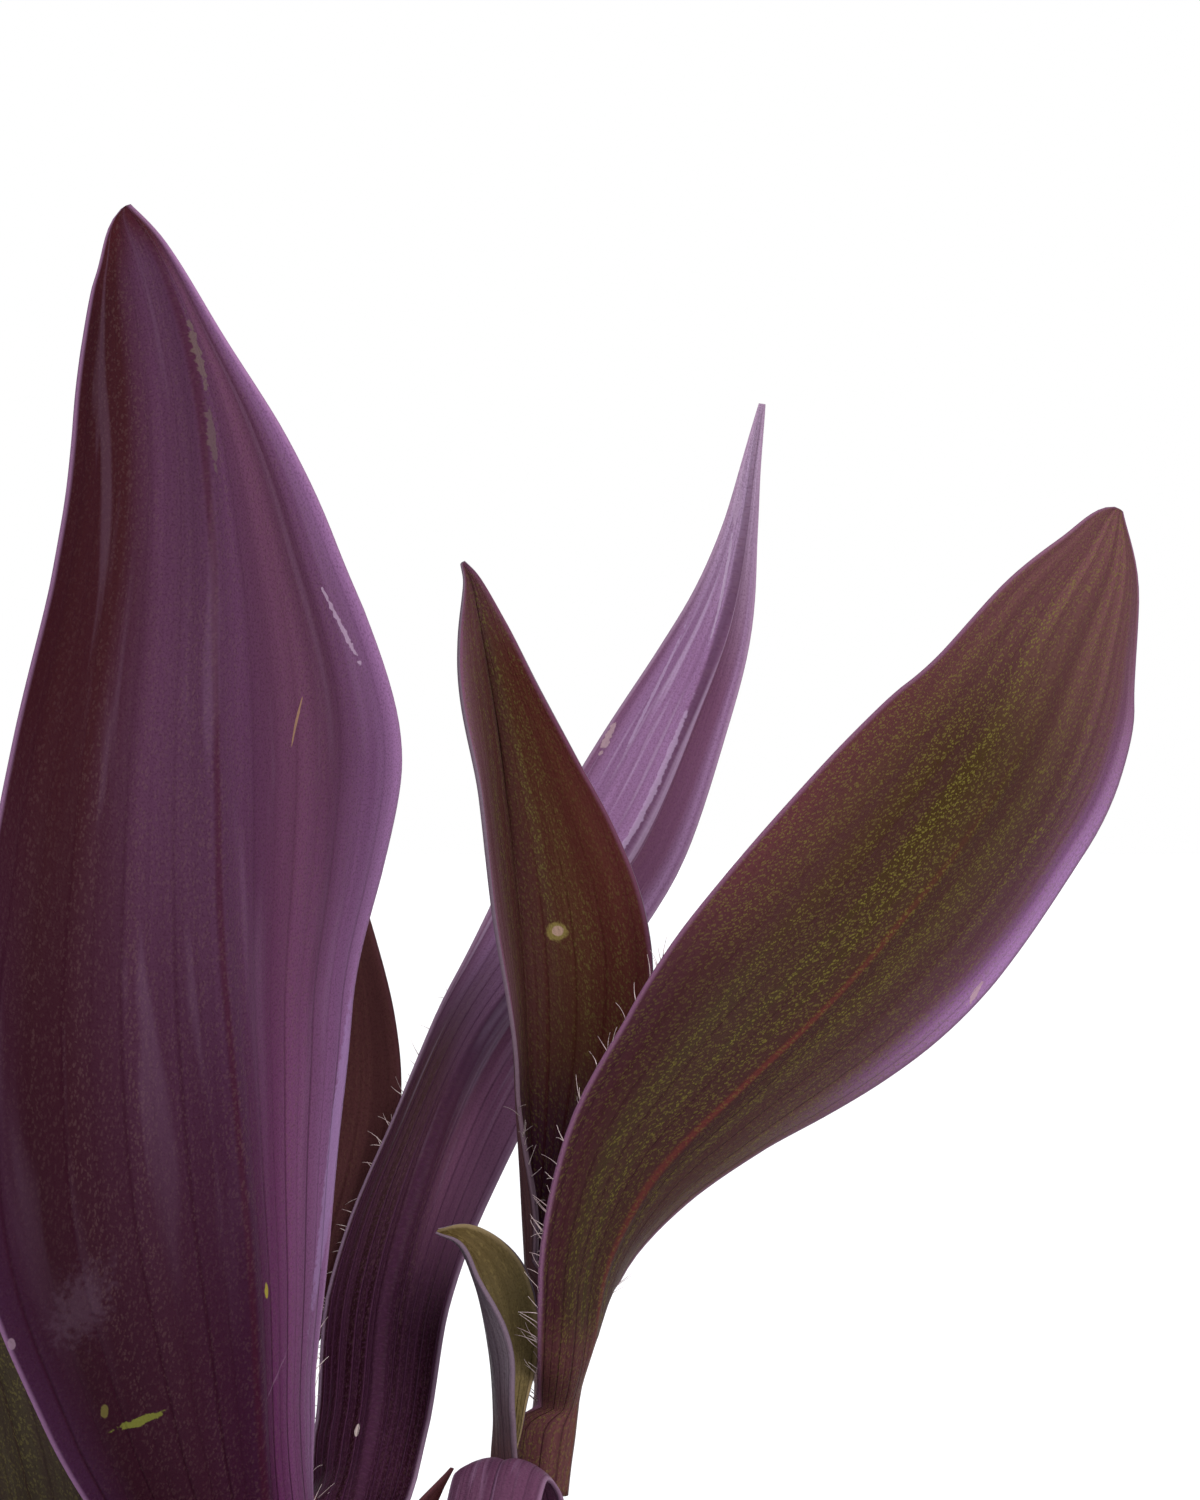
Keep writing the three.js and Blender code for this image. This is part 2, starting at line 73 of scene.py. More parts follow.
def placeCamera(look):
    camera = bpy.data.objects.new("camera", bpy.data.cameras.new("camera"))
    camera.data.lens = look["lens"]
    camera.data.sensor_width = look["sensor"]
    camera.data.clip_start = 0.02
    camera.data.clip_end = 100
    camera.location = look["place"]
    camera.rotation_euler = (math.radians(90), 0, 0)
    bpy.context.scene.collection.objects.link(camera)
    bpy.context.scene.camera = camera


def lightStudio(look):
    for name, heading, height, strength, softness, colour in look["suns"]:
        sun = bpy.data.lights.new(name, "SUN")
        sun.energy = strength
        sun.angle = math.radians(softness)
        sun.color = colour
        lamp = bpy.data.objects.new(name, sun)
        lamp.rotation_euler = (math.radians(90 - height), 0, math.radians(heading))
        bpy.context.scene.collection.objects.link(lamp)
    world = bpy.data.worlds.new("studio")
    world.use_nodes = True
    nodes = world.node_tree.nodes
    links = world.node_tree.links
    nodes.clear()
    seen = nodes.new("ShaderNodeBackground")
    seen.inputs["Color"].default_value = (*look["backdrop"], 1)
    bounced = nodes.new("ShaderNodeBackground")
    bounced.inputs["Color"].default_value = (*look["bounce"], 1)
    ray = nodes.new("ShaderNodeLightPath")
    either = nodes.new("ShaderNodeMixShader")
    output = nodes.new("ShaderNodeOutputWorld")
    links.new(ray.outputs["Is Camera Ray"], either.inputs[0])
    links.new(bounced.outputs[0], either.inputs[1])
    links.new(seen.outputs[0], either.inputs[2])
    links.new(either.outputs[0], output.inputs["Surface"])
    bpy.context.scene.world = world
    bpy.context.scene.view_settings.view_transform = "Standard"


placeCamera(cameraLook)
lightStudio(studio)
print("camera and light are set")


# Shader maths: a wire is a socket that can be reckoned with
def reckoning(operation, swapped=False):
    def reckoned(wire, other):
        return wire.reckon(operation, *((other, wire) if swapped else (wire, other)))

    return reckoned


class Wire:
    def __init__(self, finish, socket):
        self.finish = finish
        self.socket = socket

    def reckon(self, operation, *values):
        settings = {"operation": operation}
        return self.finish.add("ShaderNodeMath", settings, dict(enumerate(values)))

    def __abs__(self):
        return self.reckon("ABSOLUTE", self)

    __add__, __radd__ = reckoning("ADD"), reckoning("ADD", True)
    __sub__, __rsub__ = reckoning("SUBTRACT"), reckoning("SUBTRACT", True)
    __mul__, __rmul__ = reckoning("MULTIPLY"), reckoning("MULTIPLY", True)
    __truediv__, __rtruediv__ = reckoning("DIVIDE"), reckoning("DIVIDE", True)
    __pow__ = reckoning("POWER")


def linear(channel):
    share = channel / 255
    return ((share + 0.055) / 1.055) ** 2.4 if channel > 10 else share / 12.92


def tint(red, green, blue):
    # colour as a picture editor gives it, 0 to 255, as the linear colour that a shader takes
    return (linear(red), linear(green), linear(blue), 1)


class Finish:
    def __init__(self, name):
        self.material = bpy.data.materials.new(name)
        self.material.use_nodes = True
        self.nodes = self.material.node_tree.nodes
        self.links = self.material.node_tree.links
        self.nodes.clear()

    def add(self, kind, settings=None, inputs=None, output=0):
        node = self.nodes.new(kind)
        for key, value in (settings or {}).items():
            if key == "stops":
                while len(node.color_ramp.elements) < len(value):
                    node.color_ramp.elements.new(0.5)
                for element, (position, colour) in zip(node.color_ramp.elements, value):
                    element.position = position
                    element.color = colour
            else:
                setattr(node, key, value)
        for key, value in (inputs or {}).items():
            if isinstance(value, Wire):
                self.links.new(value.socket, node.inputs[key])
            else:
                node.inputs[key].default_value = value
        return Wire(self, node.outputs[output]) if len(node.outputs) else node

    def blend(self, first, second, share, kind="MIX"):
        settings = {"data_type": "RGBA", "blend_type": kind}
        return self.add("ShaderNodeMix", settings, {0: share, 6: first, 7: second}, 2)

    def fade(self, value, low, high):
        inputs = {"Value": value, "From Min": low, "From Max": high}
        return self.add("ShaderNodeMapRange", {"interpolation_type": "SMOOTHSTEP"}, inputs)

    def stored(self, name, output="Vector"):
        # what a mesh holds for each of its points under this name
        return self.add("ShaderNodeAttribute", {"attribute_name": name}, {}, output)

    def place(self):
        return self.add("ShaderNodeTexCoord", {}, {}, "Object")

    def parts(self, vector):
        node = self.add("ShaderNodeSeparateXYZ", {}, {0: vector}).socket.node
        return [Wire(self, socket) for socket in node.outputs]

    def vector(self, x, y, z):
        return self.add("ShaderNodeCombineXYZ", {}, {0: x, 1: y, 2: z})

    def grain(self, vector, scale, detail=2.0, distortion=0.0):
        inputs = {"Vector": vector, "Scale": scale, "Detail": detail, "Distortion": distortion}
        return self.add("ShaderNodeTexNoise", {}, inputs)

    def ramp(self, value, stops):
        return self.add("ShaderNodeValToRGB", {"stops": stops}, {0: value})

    def close(self, colour, roughness, height, depth, **constants):
        bump = self.add("ShaderNodeBump", {}, {"Strength": 1.0, "Distance": depth, "Height": height})
        inputs = {"Base Color": colour, "Roughness": roughness, "Normal": bump}
        for key, value in constants.items():
            inputs[key.replace("_", " ")] = value
        shader = self.add("ShaderNodeBsdfPrincipled", {}, inputs)
        self.add("ShaderNodeOutputMaterial", {}, {"Surface": shader})
        return self.material


# Small sums for the leaf shapes
def unit(v):
    return v / np.linalg.norm(v)


def ease(x):
    x = min(1.0, max(0.0, x))
    return x * x * (3 - 2 * x)


def mix(a, b, share):
    return a + (b - a) * share


def along(stops, t):
    # eased value of a list spread evenly over 0 to 1
    x = t * (len(stops) - 1)
    i = min(len(stops) - 2, int(x))
    return mix(stops[i], stops[i + 1], ease(x - i))


def smooth(stops, t):
    # smooth curve through a list spread evenly over 0 to 1
    x = t * (len(stops) - 1)
    i = min(len(stops) - 2, int(x))
    w = x - i
    past = stops[i - 1] if i > 0 else 2 * stops[0] - stops[1]
    last = stops[i + 2] if i + 2 < len(stops) else 2 * stops[-1] - stops[-2]
    here, there = stops[i], stops[i + 1]
    rise = there - past
    bend = 2 * past - 5 * here + 4 * there - last
    twist = 3 * here - past - 3 * there + last
    return 0.5 * (2 * here + w * (rise + w * (bend + w * twist)))


def turning(stops, t):
    return unit(np.array([along([row[axis] for row in stops], t) for axis in range(3)]))


def heading(degrees):
    return np.array([math.cos(math.radians(degrees)), math.sin(math.radians(degrees)), 0.0])


class Path:
    # smooth line through points, measured along its own length
    def __init__(self, points, fineness=300):
        knots = [np.array(p, float) for p in points]
        spans = len(knots) - 1
        placed = []
        for k in range(fineness + 1):
            x = k / fineness * spans
            i = min(spans - 1, int(x))
            placed.append(self.between(knots, i, x - i))
        self.points = np.array(placed)
        steps = np.linalg.norm(np.diff(self.points, axis=0), axis=1)
        self.distances = np.concatenate([[0], np.cumsum(steps)])
        self.length = float(self.distances[-1])

    def between(self, knots, i, w):
        b, c = knots[i], knots[i + 1]
        a = knots[i - 1] if i > 0 else 2 * b - c
        d = knots[i + 2] if i + 2 < len(knots) else 2 * c - b
        first, middle, last = (math.sqrt(np.linalg.norm(q - p)) for p, q in ((a, b), (b, c), (c, d)))
        leaving = ((b - a) / first - (c - a) / (first + middle) + (c - b) / middle) * middle
        arriving = ((c - b) / middle - (d - b) / (middle + last) + (d - c) / last) * middle
        square = 3 * (c - b) - 2 * leaving - arriving
        cube = 2 * (b - c) + leaving + arriving
        return b + w * (leaving + w * (square + w * cube))

    def place(self, distance):
        return np.array([np.interp(distance, self.distances, self.points[:, k]) for k in range(3)])

    def heading(self, distance):
        distance = min(distance, self.length)
        before = self.place(max(0, distance - 0.6))
        after = self.place(min(self.length, distance + 0.6))
        return unit(after - before)


# Leaves: a sheath round the stem that opens through a mouth into a folded, curled blade
leafMake = {
    "clear": 0.9,  # from the stem to the middle of the sheath's thickness
    "sheath": 7,
    "mouth": 3.2,
    "closedWrap": 0.94,
    "openWrap": 0.62,
    "flare": 0.1,
    "neck": 1.15,
    "sway": 0,
    "turn": 0.27,
    "settle": 0.25,
    "fold": [6, 16, 16],
    "curl": [40, 22, 16],
    "blade": [0.36, 0.62, 0.82, 0.95, 1, 0.98, 0.88, 0.68, 0.4, 0.04],
    "blunt": [],  # sides (0 or 1) that end in a round tip
    "thick": 1.0,
    "edge": 0.42,  # share of the thickness that is left at the margin
    "edgeWidth": 3.5,
    "tip": 0.5,
    "keel": 0.22,
    "keelWidth": 0.8,
    "veinDepth": 0.11,
    "veinWidth": 0.5,
    "veins": [0.1, 0.19, 0.3, 0.41, 0.53, 0.64, 0.77, 0.89],
    "waves": 2.5,
    "ripple": 0.35,
    "sheathRows": 0.125,  # share of a leaf's rows that lie on the sheath
    "crowding": 1.3,
    "meshes": {"tall": (64, 128), "shaped": (44, 96), "plain": (24, 64)},  # columns and rows
}


class Leaf:
    def __init__(self, stem, facts):
        self.facts = facts
        self.stem = stem
        self.shaped = "halves" in facts
        self.sheath = self.fact("sheath")
        self.neckAt = self.sheath + leafMake["mouth"]
        self.radius = stem.radiusAt(facts["at"]) + leafMake["clear"]
        onStem = [self.onStem(d) for d in (0, self.sheath / 2, self.sheath, self.neckAt)]
        self.midrib = Path(onStem + (facts.get("through") or self.arch(onStem[-1])))
        self.blade = self.midrib.length - self.neckAt
        self.wrap = math.pi * leafMake["closedWrap" if self.shaped else "openWrap"]
        self.neck = facts["halves"][0][0] if self.shaped else leafMake["neck"] * self.radius

    def fact(self, key):
        # the leaf's own value, or else the one that the leaves share
        return self.facts[key] if key in self.facts else leafMake[key]

    def angle(self, key, share):
        return math.radians(along(self.fact(key), share))

    def back(self, share):
        return heading(self.facts["toward"] + self.fact("sway") * share)

    def outward(self, distance):
        tangent = self.stem.path.heading(self.facts["at"] + distance)
        back = self.back(0)
        return unit(back - back.dot(tangent) * tangent)

    def onStem(self, distance):
        axis = self.stem.path.place(self.facts["at"] + distance)
        return axis + self.radius * self.outward(distance)

    def arch(self, start):
        # midrib of a plain leaf, which arches from its first lift angle over to its last
        points = []
        place = start
        for k in range(20):
            share = (k + 0.5) / 20
            lift = self.angle("lift", share)
            step = self.back(share) * math.cos(lift)
            step[2] = math.sin(lift)
            place = place + step * self.facts["length"] / 20
            if k % 4 == 3:
                points.append(place)
        return points

    def distanceOf(self, t):
        # the first rows lie on the sheath, and the others crowd a little towards the tip
        onSheath = leafMake["sheathRows"]
        if t < onSheath:
            return self.neckAt * t / onSheath
        left = 1 - (t - onSheath) / (1 - onSheath)
        return self.neckAt + self.blade * (1 - left ** leafMake["crowding"])

    def widthAt(self, side, opened, share):
        if opened < 1:
            return mix(self.wrap * self.radius, self.neck, ease(opened))
        if self.shaped:
            half = self.facts["halves"][side]
            if side in self.fact("blunt"):
                return math.sqrt(max(0.1, smooth([width * width for width in half], share)))
            return max(0.3, smooth(half, share))
        blade = smooth(leafMake["blade"], share) * self.facts["width"] / 2
        return max(blade, self.neck * (1 - 4 * share))

    def row(self, distance):
        # everything that the points across the leaf share, at a distance up the midrib
        opened = min(1, max(0, (distance - self.sheath) / leafMake["mouth"]))
        share = max(0, (distance - self.neckAt) / self.blade)
        tangent = self.midrib.heading(distance)
        if "face" in self.facts:
            looks = turning(self.facts["face"], share)
        else:
            looks = np.cross(tangent, np.cross([0, 0, 1], self.back(share)))
        turned = ease(share / self.fact("turn"))
        normal = mix(-self.outward(min(distance, self.neckAt)), looks, turned)
        normal = unit(normal - normal.dot(tangent) * tangent)
        return {
            "opened": opened,
            "share": share,
            "distance": distance,
            "point": self.midrib.place(distance),
            "normal": normal,
            "across": np.cross(tangent, normal),
            "widths": [self.widthAt(side, opened, share) for side in (0, 1)],
            "crease": self.angle("fold", share) * turned,
            "curl": self.angle("curl", share),
            "settled": ease(share / self.fact("settle")),
        }

    def point(self, row, s):
        # s runs from -1 at one margin over 0 at the midrib to 1 at the other
        width = row["widths"][0 if s < 0 else 1]
        clasped = self.radius * (1 + leafMake["flare"] * row["opened"])
        clasping = min(self.wrap, width / clasped)
        bend = mix(clasping, row["curl"], row["settled"])
        crease = row["crease"]
        slope = crease + bend * abs(s)
        out = width * (math.sin(slope) - math.sin(crease)) / bend
        rise = width * (math.cos(crease) - math.cos(slope)) / bend
        sign = 1 if s >= 0 else -1
        skin = math.cos(slope) * row["normal"] - sign * math.sin(slope) * row["across"]
        flat = row["point"] + sign * out * row["across"] + rise * row["normal"]
        return flat + self.relief(row, s, width) * skin

    def relief(self, row, s, width):
        # keel under the midrib, grooves along the veins and a slow wave along the margins
        share = row["share"]
        grown = ease(share * 6) * ease((1 - share) * 7)
        keel = -leafMake["keel"] * math.exp(-((s * width / leafMake["keelWidth"]) ** 2)) * grown
        away = [(abs(s) - vein) * width / leafMake["veinWidth"] for vein in leafMake["veins"]]
        grooves = sum(math.exp(-(distance**2)) for distance in away)
        start = 0.7 if s > 0 else 3.1
        swing = math.sin(2 * math.pi * leafMake["waves"] * share + start + self.facts["at"])
        ripple = leafMake["ripple"] * abs(s) ** 3 * swing
        return keel + (ripple + leafMake["veinDepth"] * grooves) * grown


class Stem:
    def __init__(self, facts):
        self.path = Path(facts["path"])
        self.radii = facts["radius"]

    def radiusAt(self, distance):
        return mix(*self.radii, min(1, distance / self.path.length))


def show(mesh, name, materials=()):
    # a finished bmesh becomes an object in the scene
    data = bpy.data.meshes.new(name)
    mesh.to_mesh(data)
    mesh.free()
    for material in materials:
        data.materials.append(material)
    shown = bpy.data.objects.new(name, data)
    bpy.context.scene.collection.objects.link(shown)
    return shown


def keep(mesh, name, slot, materials, *nodes):
    # a piece of the plant, which rides on its one body
    piece = show(mesh, name, materials)
    piece.data.shade_smooth()
    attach(piece, "root")
    if nodes:
        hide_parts(*nodes)
    return piece


def turned(profile, around, cuts=0):
    # a profile of radii and heights spun round the upright axis, its long walls cut up first
    bm = bmesh.new()
    verts = [bm.verts.new((r * mm, 0, z * mm)) for r, z in profile]
    edges = [bm.edges.new(pair) for pair in zip(verts, verts[1:])]
    if cuts:
        walls = [edge for edge in edges if edge.calc_length() > 0.015 and edge.verts[0].co.x > 0.03]
        bmesh.ops.subdivide_edges(bm, edges=walls, cuts=cuts)
    turn = {"cent": (0, 0, 0), "axis": (0, 0, 1), "angle": 2 * math.pi, "use_merge": True}
    bmesh.ops.spin(bm, geom=bm.verts[:] + bm.edges[:], steps=around, **turn)
    bmesh.ops.remove_doubles(bm, verts=bm.verts, dist=1e-6)
    return bm


def makeLeaf(name, leaf, slot, materials, columns, rows):
    bm = bmesh.new()
    bmesh.ops.create_grid(bm, x_segments=columns, y_segments=rows, size=1)
    place = bm.verts.layers.float_vector.new("place")
    measure = bm.verts.layers.float_vector.new("measure")
    flesh = bm.verts.layers.deform.verify()
    shared = {}
    for vert in bm.verts:
        s = vert.co.x
        t = round((vert.co.y + 1) / 2, 6)
        if t not in shared:
            shared[t] = leaf.row(leaf.distanceOf(t))
        row = shared[t]
        width = row["widths"][0 if s < 0 else 1]
        vert[place] = (s, row["share"], row["opened"])
        vert[measure] = (s * width, row["distance"], width)
        margin = ease((1 - abs(s)) * width / leafMake["edgeWidth"])
        tip = ease((1 - row["share"]) * 8)
        vert[flesh][0] = mix(leafMake["edge"], 1, margin) * mix(leafMake["tip"], 1, tip)
        vert.co = Vector(leaf.point(row, s)) * mm
    piece = keep(bm, name + "_blade", slot, materials, name)
    piece.vertex_groups.new(name="flesh")
    skin = piece.modifiers.new("flesh", "SOLIDIFY")
    skin.thickness = leafMake["thick"] * mm
    skin.offset = 0
    skin.vertex_group = "flesh"
    skin.thickness_vertex_group = 0
    skin.material_offset = 1
    skin.material_offset_rim = 1
    return piece


# Shoots: a stem's axis, its radius at foot and tip, and its leaves, in millimetres. "at" is how far
# up the stem a leaf's sheath starts and "toward" the compass angle of its back, from +X towards +Y.
# A plain leaf arches through the angles in "lift" and swings sideways by "sway". For a shaped leaf,
# "through" lists the midrib's points, "face" the way its upper side looks and "halves" its half widths.
def plainLeaf(name, at, toward, length, width, lift, sway=0):
    return {
        "name": name,
        "at": at,
        "toward": toward,
        "length": length,
        "width": width,
        "lift": lift,
        "sway": sway,
    }


hiddenTip = {
    "name": "hidden_tip", "at": 64, "toward": -20,
    "through": [[-13.8, -11, 142], [-11.4, -11.4, 152], [-8.5, -11, 161.5], [-4.4, -11, 169.6]],
    "face": [[-0.7, 0.5, 0.4], [-0.7, 0.4, 0.5]],
    "fold": [10, 20, 20], "curl": [50, 30, 30],
    "halves": 2 * [[4, 5, 5.6, 4.4, 2.6, 0.3]],
}
tallFront = {
    "name": "tall_front", "at": 77, "toward": -100,
    "through": [
        [-20.5, -24, 155], [-21.6, -36, 170], [-22, -47, 190], [-23, -52, 205], [-24.2, -54, 222],
        [-25, -53, 240], [-25.4, -49, 256], [-26.8, -44, 271], [-29, -40, 280], [-31.7, -37, 286.6],
        [-34.5, -34, 291],
    ],
    "face": [[-0.6, 0.8, 0.3], [-0.66, 0.75, 0.2], [-0.6, 0.8, 0.1], [-0.38, 0.92, 0], [-0.15, 0.98, 0]],
    "fold": [14, 18, 20, 20, 10], "curl": [20, 8, 5, 6, 10], "blunt": [1],
    "halves": [
        [4.2, 7.3, 9.5, 12, 15.2, 20, 24.8, 24, 14.6, 4.4, 0.5],
        [4.2, 5.6, 13, 20, 24.2, 24, 20.6, 16.9, 13.5, 10.6, 0.5],
    ],
}
slimBack = {
    "name": "slim_back", "at": 89.2, "toward": -40,
    "through": [
        [-15.8, -7, 162], [-12.8, 1, 172], [-11.5, 8, 184.5], [-8.2, 14, 197], [-2.8, 19, 209.6],
        [5.8, 25, 221], [13.4, 30, 230.5], [19.5, 33, 243.7], [23.3, 34, 253.8], [25.3, 34, 263.3],
        [26.3, 33, 270.7], [27.2, 33, 276.7],
    ],
    "face": [[0.2, 0.95, 0.3], [0.2, 0.95, 0.2], [0.35, 0.9, 0.2], [0.1, 1, 0.2], [-0.1, 0.97, 0.1]],
    "fold": [24, 26, 28, 28, 20], "curl": [30, 10, 5, 5, 5], "settle": 0.1, "turn": 0.12,
    "halves": [
        [4.2, 5.4, 6.2, 7.2, 8.4, 9, 7.8, 6, 4.1, 1.8, 0.35],
        [4.6, 7.4, 8.6, 8, 6.8, 7.6, 10.2, 9.8, 6.7, 2.7, 0.35],
    ],
}
youngBack = {
    "name": "young_back", "at": 103.5, "toward": 115, "sheath": 6,
    "through": [[-26, 14, 178], [-24.4, 22, 192], [-22.4, 26.5, 208], [-22.2, 30, 226], [-22.5, 31, 244.9]],
    "face": [[0.5, -0.85, 0.2], [0.4, -0.9, 0.1]],
    "fold": [10, 14, 14], "curl": [40, 25, 15],
    "halves": [
        [3.6, 6, 8.2, 10, 11.2, 12, 11.3, 9.4, 6.8, 3.6, 0.3],
        [3.6, 6, 8.2, 10, 11.6, 12, 10.8, 8.6, 6, 3.2, 0.3],
    ],
}
leftShoot = {
    "path": [[-16, -8, 60], [-18, -8, 94], [-22, -8, 120], [-22, -6, 146], [-25, 3.5, 170.5]],
    "radius": [3.6, 1.6],
    "leaves": [
        plainLeaf("low_left", 31, 195, 90, 27, [60, 18, -32], 12),
        plainLeaf("low_front", 48, -72, 74, 24, [58, 12, -40], -14),
        hiddenTip,
        tallFront,
        slimBack,
        youngBack,
    ],
}

bentFront = {
    "name": "bent_front", "at": 83, "toward": -110,
    "through": [
        [3.6, -9.5, 160.5], [2, -14.6, 168.4], [0.6, -21, 171.3], [-0.6, -29, 168], [-1.8, -36.5, 161],
        [-3, -42, 152],
    ],
    "face": [[0, 1, 0.3], [0, 0.2, 1], [0, -0.6, 0.8], [0, -0.9, 0.4]],
    "fold": [0, 0, 0, 8], "curl": [50, -28, -34, -10],
    "halves": 2 * [[3.6, 4, 4.4, 4.7, 4.7, 4.5, 3.8, 2.4, 0.3]],
}
smallHook = {
    "name": "small_hook", "at": 96, "toward": 215, "sheath": 6,
    "through": [
        [-0.3, -4.9, 167.5], [0, -5.5, 174], [-0.4, -5.5, 180.5], [-1.9, -5, 187.4], [-3.8, -5, 191],
        [-6.2, -4.6, 192.2],
    ],
    "face": [[0.9, 0.3, 0.1], [1, -0.5, 0.3], [0.7, -0.8, 0.6]],
    "fold": [6, 10, 10], "curl": [50, 76, 60],
    "halves": [[2.4, 3.4, 4.4, 5, 3.6, 0.4], [2.4, 2.5, 3.3, 5, 4.9, 0.4]],
}
broadRight = {
    "name": "broad_right", "at": 106.5, "toward": -25, "sheath": 6,
    "through": [
        [8.8, -5.5, 181], [10.4, -7.6, 189.5], [15, -9, 198], [22.6, -9, 205.8], [33.5, -6, 216.3],
        [42.9, -2, 226.9], [51.5, 4, 239], [57.6, 10, 252], [61.6, 14, 259.5], [63.4, 16, 264.8],
    ],
    "face": [[-0.6, 0.6, 0.2], [-0.4, 0.9, 0.3], [-0.3, 0.95, 0.3], [-0.3, 0.95, 0.2]],
    "fold": [0, 8, 8, 8], "curl": [40, 22, 20, 20, 24], "settle": 0.13, "blunt": [1],
    "halves": [
        [4, 5.4, 7, 9.4, 12.9, 15.6, 16.8, 17, 15.8, 11.8, 0.6],
        [4, 6.6, 9, 12.6, 15.6, 16.4, 16, 14.4, 11, 7.2, 0.5],
    ],
}
uprightMiddle = {
    "name": "upright_middle", "at": 120.2, "toward": 150, "sheath": 5.5,
    "through": [
        [2.9, 5, 193], [2.7, 7, 202], [2.1, 9, 214.6], [1.3, 10, 225.3], [0.3, 10, 234.9],
        [-0.8, 9, 243.6], [-2.3, 7, 252.2], [-3.2, 5.5, 257.2], [-3.9, 4.5, 258.9],
    ],
    "face": [[0.4, -0.9, 0], [0.62, -0.77, 0], [0.6, -0.8, 0], [0.42, -0.9, 0.1]],
    "fold": [20, 26, 26, 24], "curl": [50, 25, 20, 15],
    "halves": [
        [3.4, 4.6, 5, 5.4, 6, 7.5, 8.6, 8.4, 6.8, 4, 0.3],
        [3.4, 6, 9.1, 12.2, 13.6, 13, 10.8, 7.9, 5.2, 3, 0.3],
    ],
}
middleShoot = {
    "path": [[13, 2, 60], [12, 2, 96], [6, 0, 130], [3.6, 0, 162], [5, 0.5, 176], [5.2, 1.5, 186]],
    "radius": [3.5, 1.3],
    "leaves": [
        plainLeaf("low_back", 31, 128, 66, 23, [62, 35, -10]),
        plainLeaf("low_right", 48, -52, 72, 24, [54, 10, -35], 26),
        plainLeaf("mid_back", 66, 105, 56, 22, [46, 10, -25], 20),
        bentFront,
        smallHook,
        broadRight,
        uprightMiddle,
    ],
}

backCorner = {
    "name": "corner", "at": 64, "toward": 140,
    "through": [[-47, 29, 146], [-50, 28, 161], [-54, 25, 178], [-59, 21, 195], [-66, 17, 211]],
    "face": [[0.5, -0.85, 0.2], [0.4, -0.9, 0.3], [0.3, -0.9, 0.4]],
    "fold": [14, 18, 18], "curl": [30, 14, 10],
    "halves": 2 * [[4, 8.5, 11.5, 13, 13, 11.5, 8.5, 4.5, 0.4]],
}
backLeftShoot = {
    "path": [[-30, 17, 60], [-32, 18, 92], [-36, 21, 112], [-39, 24, 136]],
    "radius": [3.2, 2],
    "leaves": [
        plainLeaf("low_back", 30, 80, 80, 25, [60, 24, -25], 50),
        plainLeaf("low_left", 47, -140, 84, 25, [58, 10, -42], -24),
        backCorner,
    ],
}

backShoot = {
    "path": [[2, 32, 60], [2, 33, 92], [4, 37, 112], [8, 43, 132]],
    "radius": [3.2, 1.9],
    "leaves": [
        plainLeaf("low", 30, 140, 78, 25, [58, 16, -35], -60),
        plainLeaf("mid", 46, -10, 58, 21, [60, 35, 0], 60),
        plainLeaf("top", 64, 95, 52, 18, [50, 22, -8], 20),
    ],
}

backRightShoot = {
    "path": [[31, 14, 60], [32, 15, 92], [38, 18, 110], [47, 22, 125]],
    "radius": [3.3, 1.9],
    "leaves": [
        plainLeaf("low", 30, 0, 84, 25, [52, 8, -48], 10),
        plainLeaf("mid", 46, 115, 70, 22, [52, 10, -35], -60),
        plainLeaf("top", 65, 20, 58, 20, [44, 22, -8]),
    ],
}

frontRightShoot = {
    "path": [[26, -21, 60], [28, -22, 92], [37, -29, 107], [53, -42, 113], [69, -55, 108]],
    "radius": [3.3, 1.9],
    "leaves": [
        plainLeaf("low", 29, -127, 67, 23, [54, 10, -44], 47),
        plainLeaf("mid", 48, 50, 56, 20, [48, 12, -35], -60),
        plainLeaf("far", 66, -125, 56, 19, [40, 0, -45], 30),
        plainLeaf("tip", 86, 40, 46, 17, [30, 12, -25], -50),
    ],
}

frontLeftShoot = {
    "path": [[-9, -32, 60], [-10, -33, 92], [-14, -39, 107], [-22, -50, 117]],
    "radius": [3.1, 1.9],
    "leaves": [
        plainLeaf("low", 29, 165, 72, 22, [50, 2, -48], 40),
        plainLeaf("mid", 44, -58, 56, 19, [40, -8, -50], -40),
        plainLeaf("top", 63, -140, 54, 18, [30, 12, -30], -10),
    ],
}

shoots = {
    "left": leftShoot,
    "middle": middleShoot,
    "back_left": backLeftShoot,
    "back": backShoot,
    "back_right": backRightShoot,
    "front_right": frontRightShoot,
    "front_left": frontLeftShoot,
}


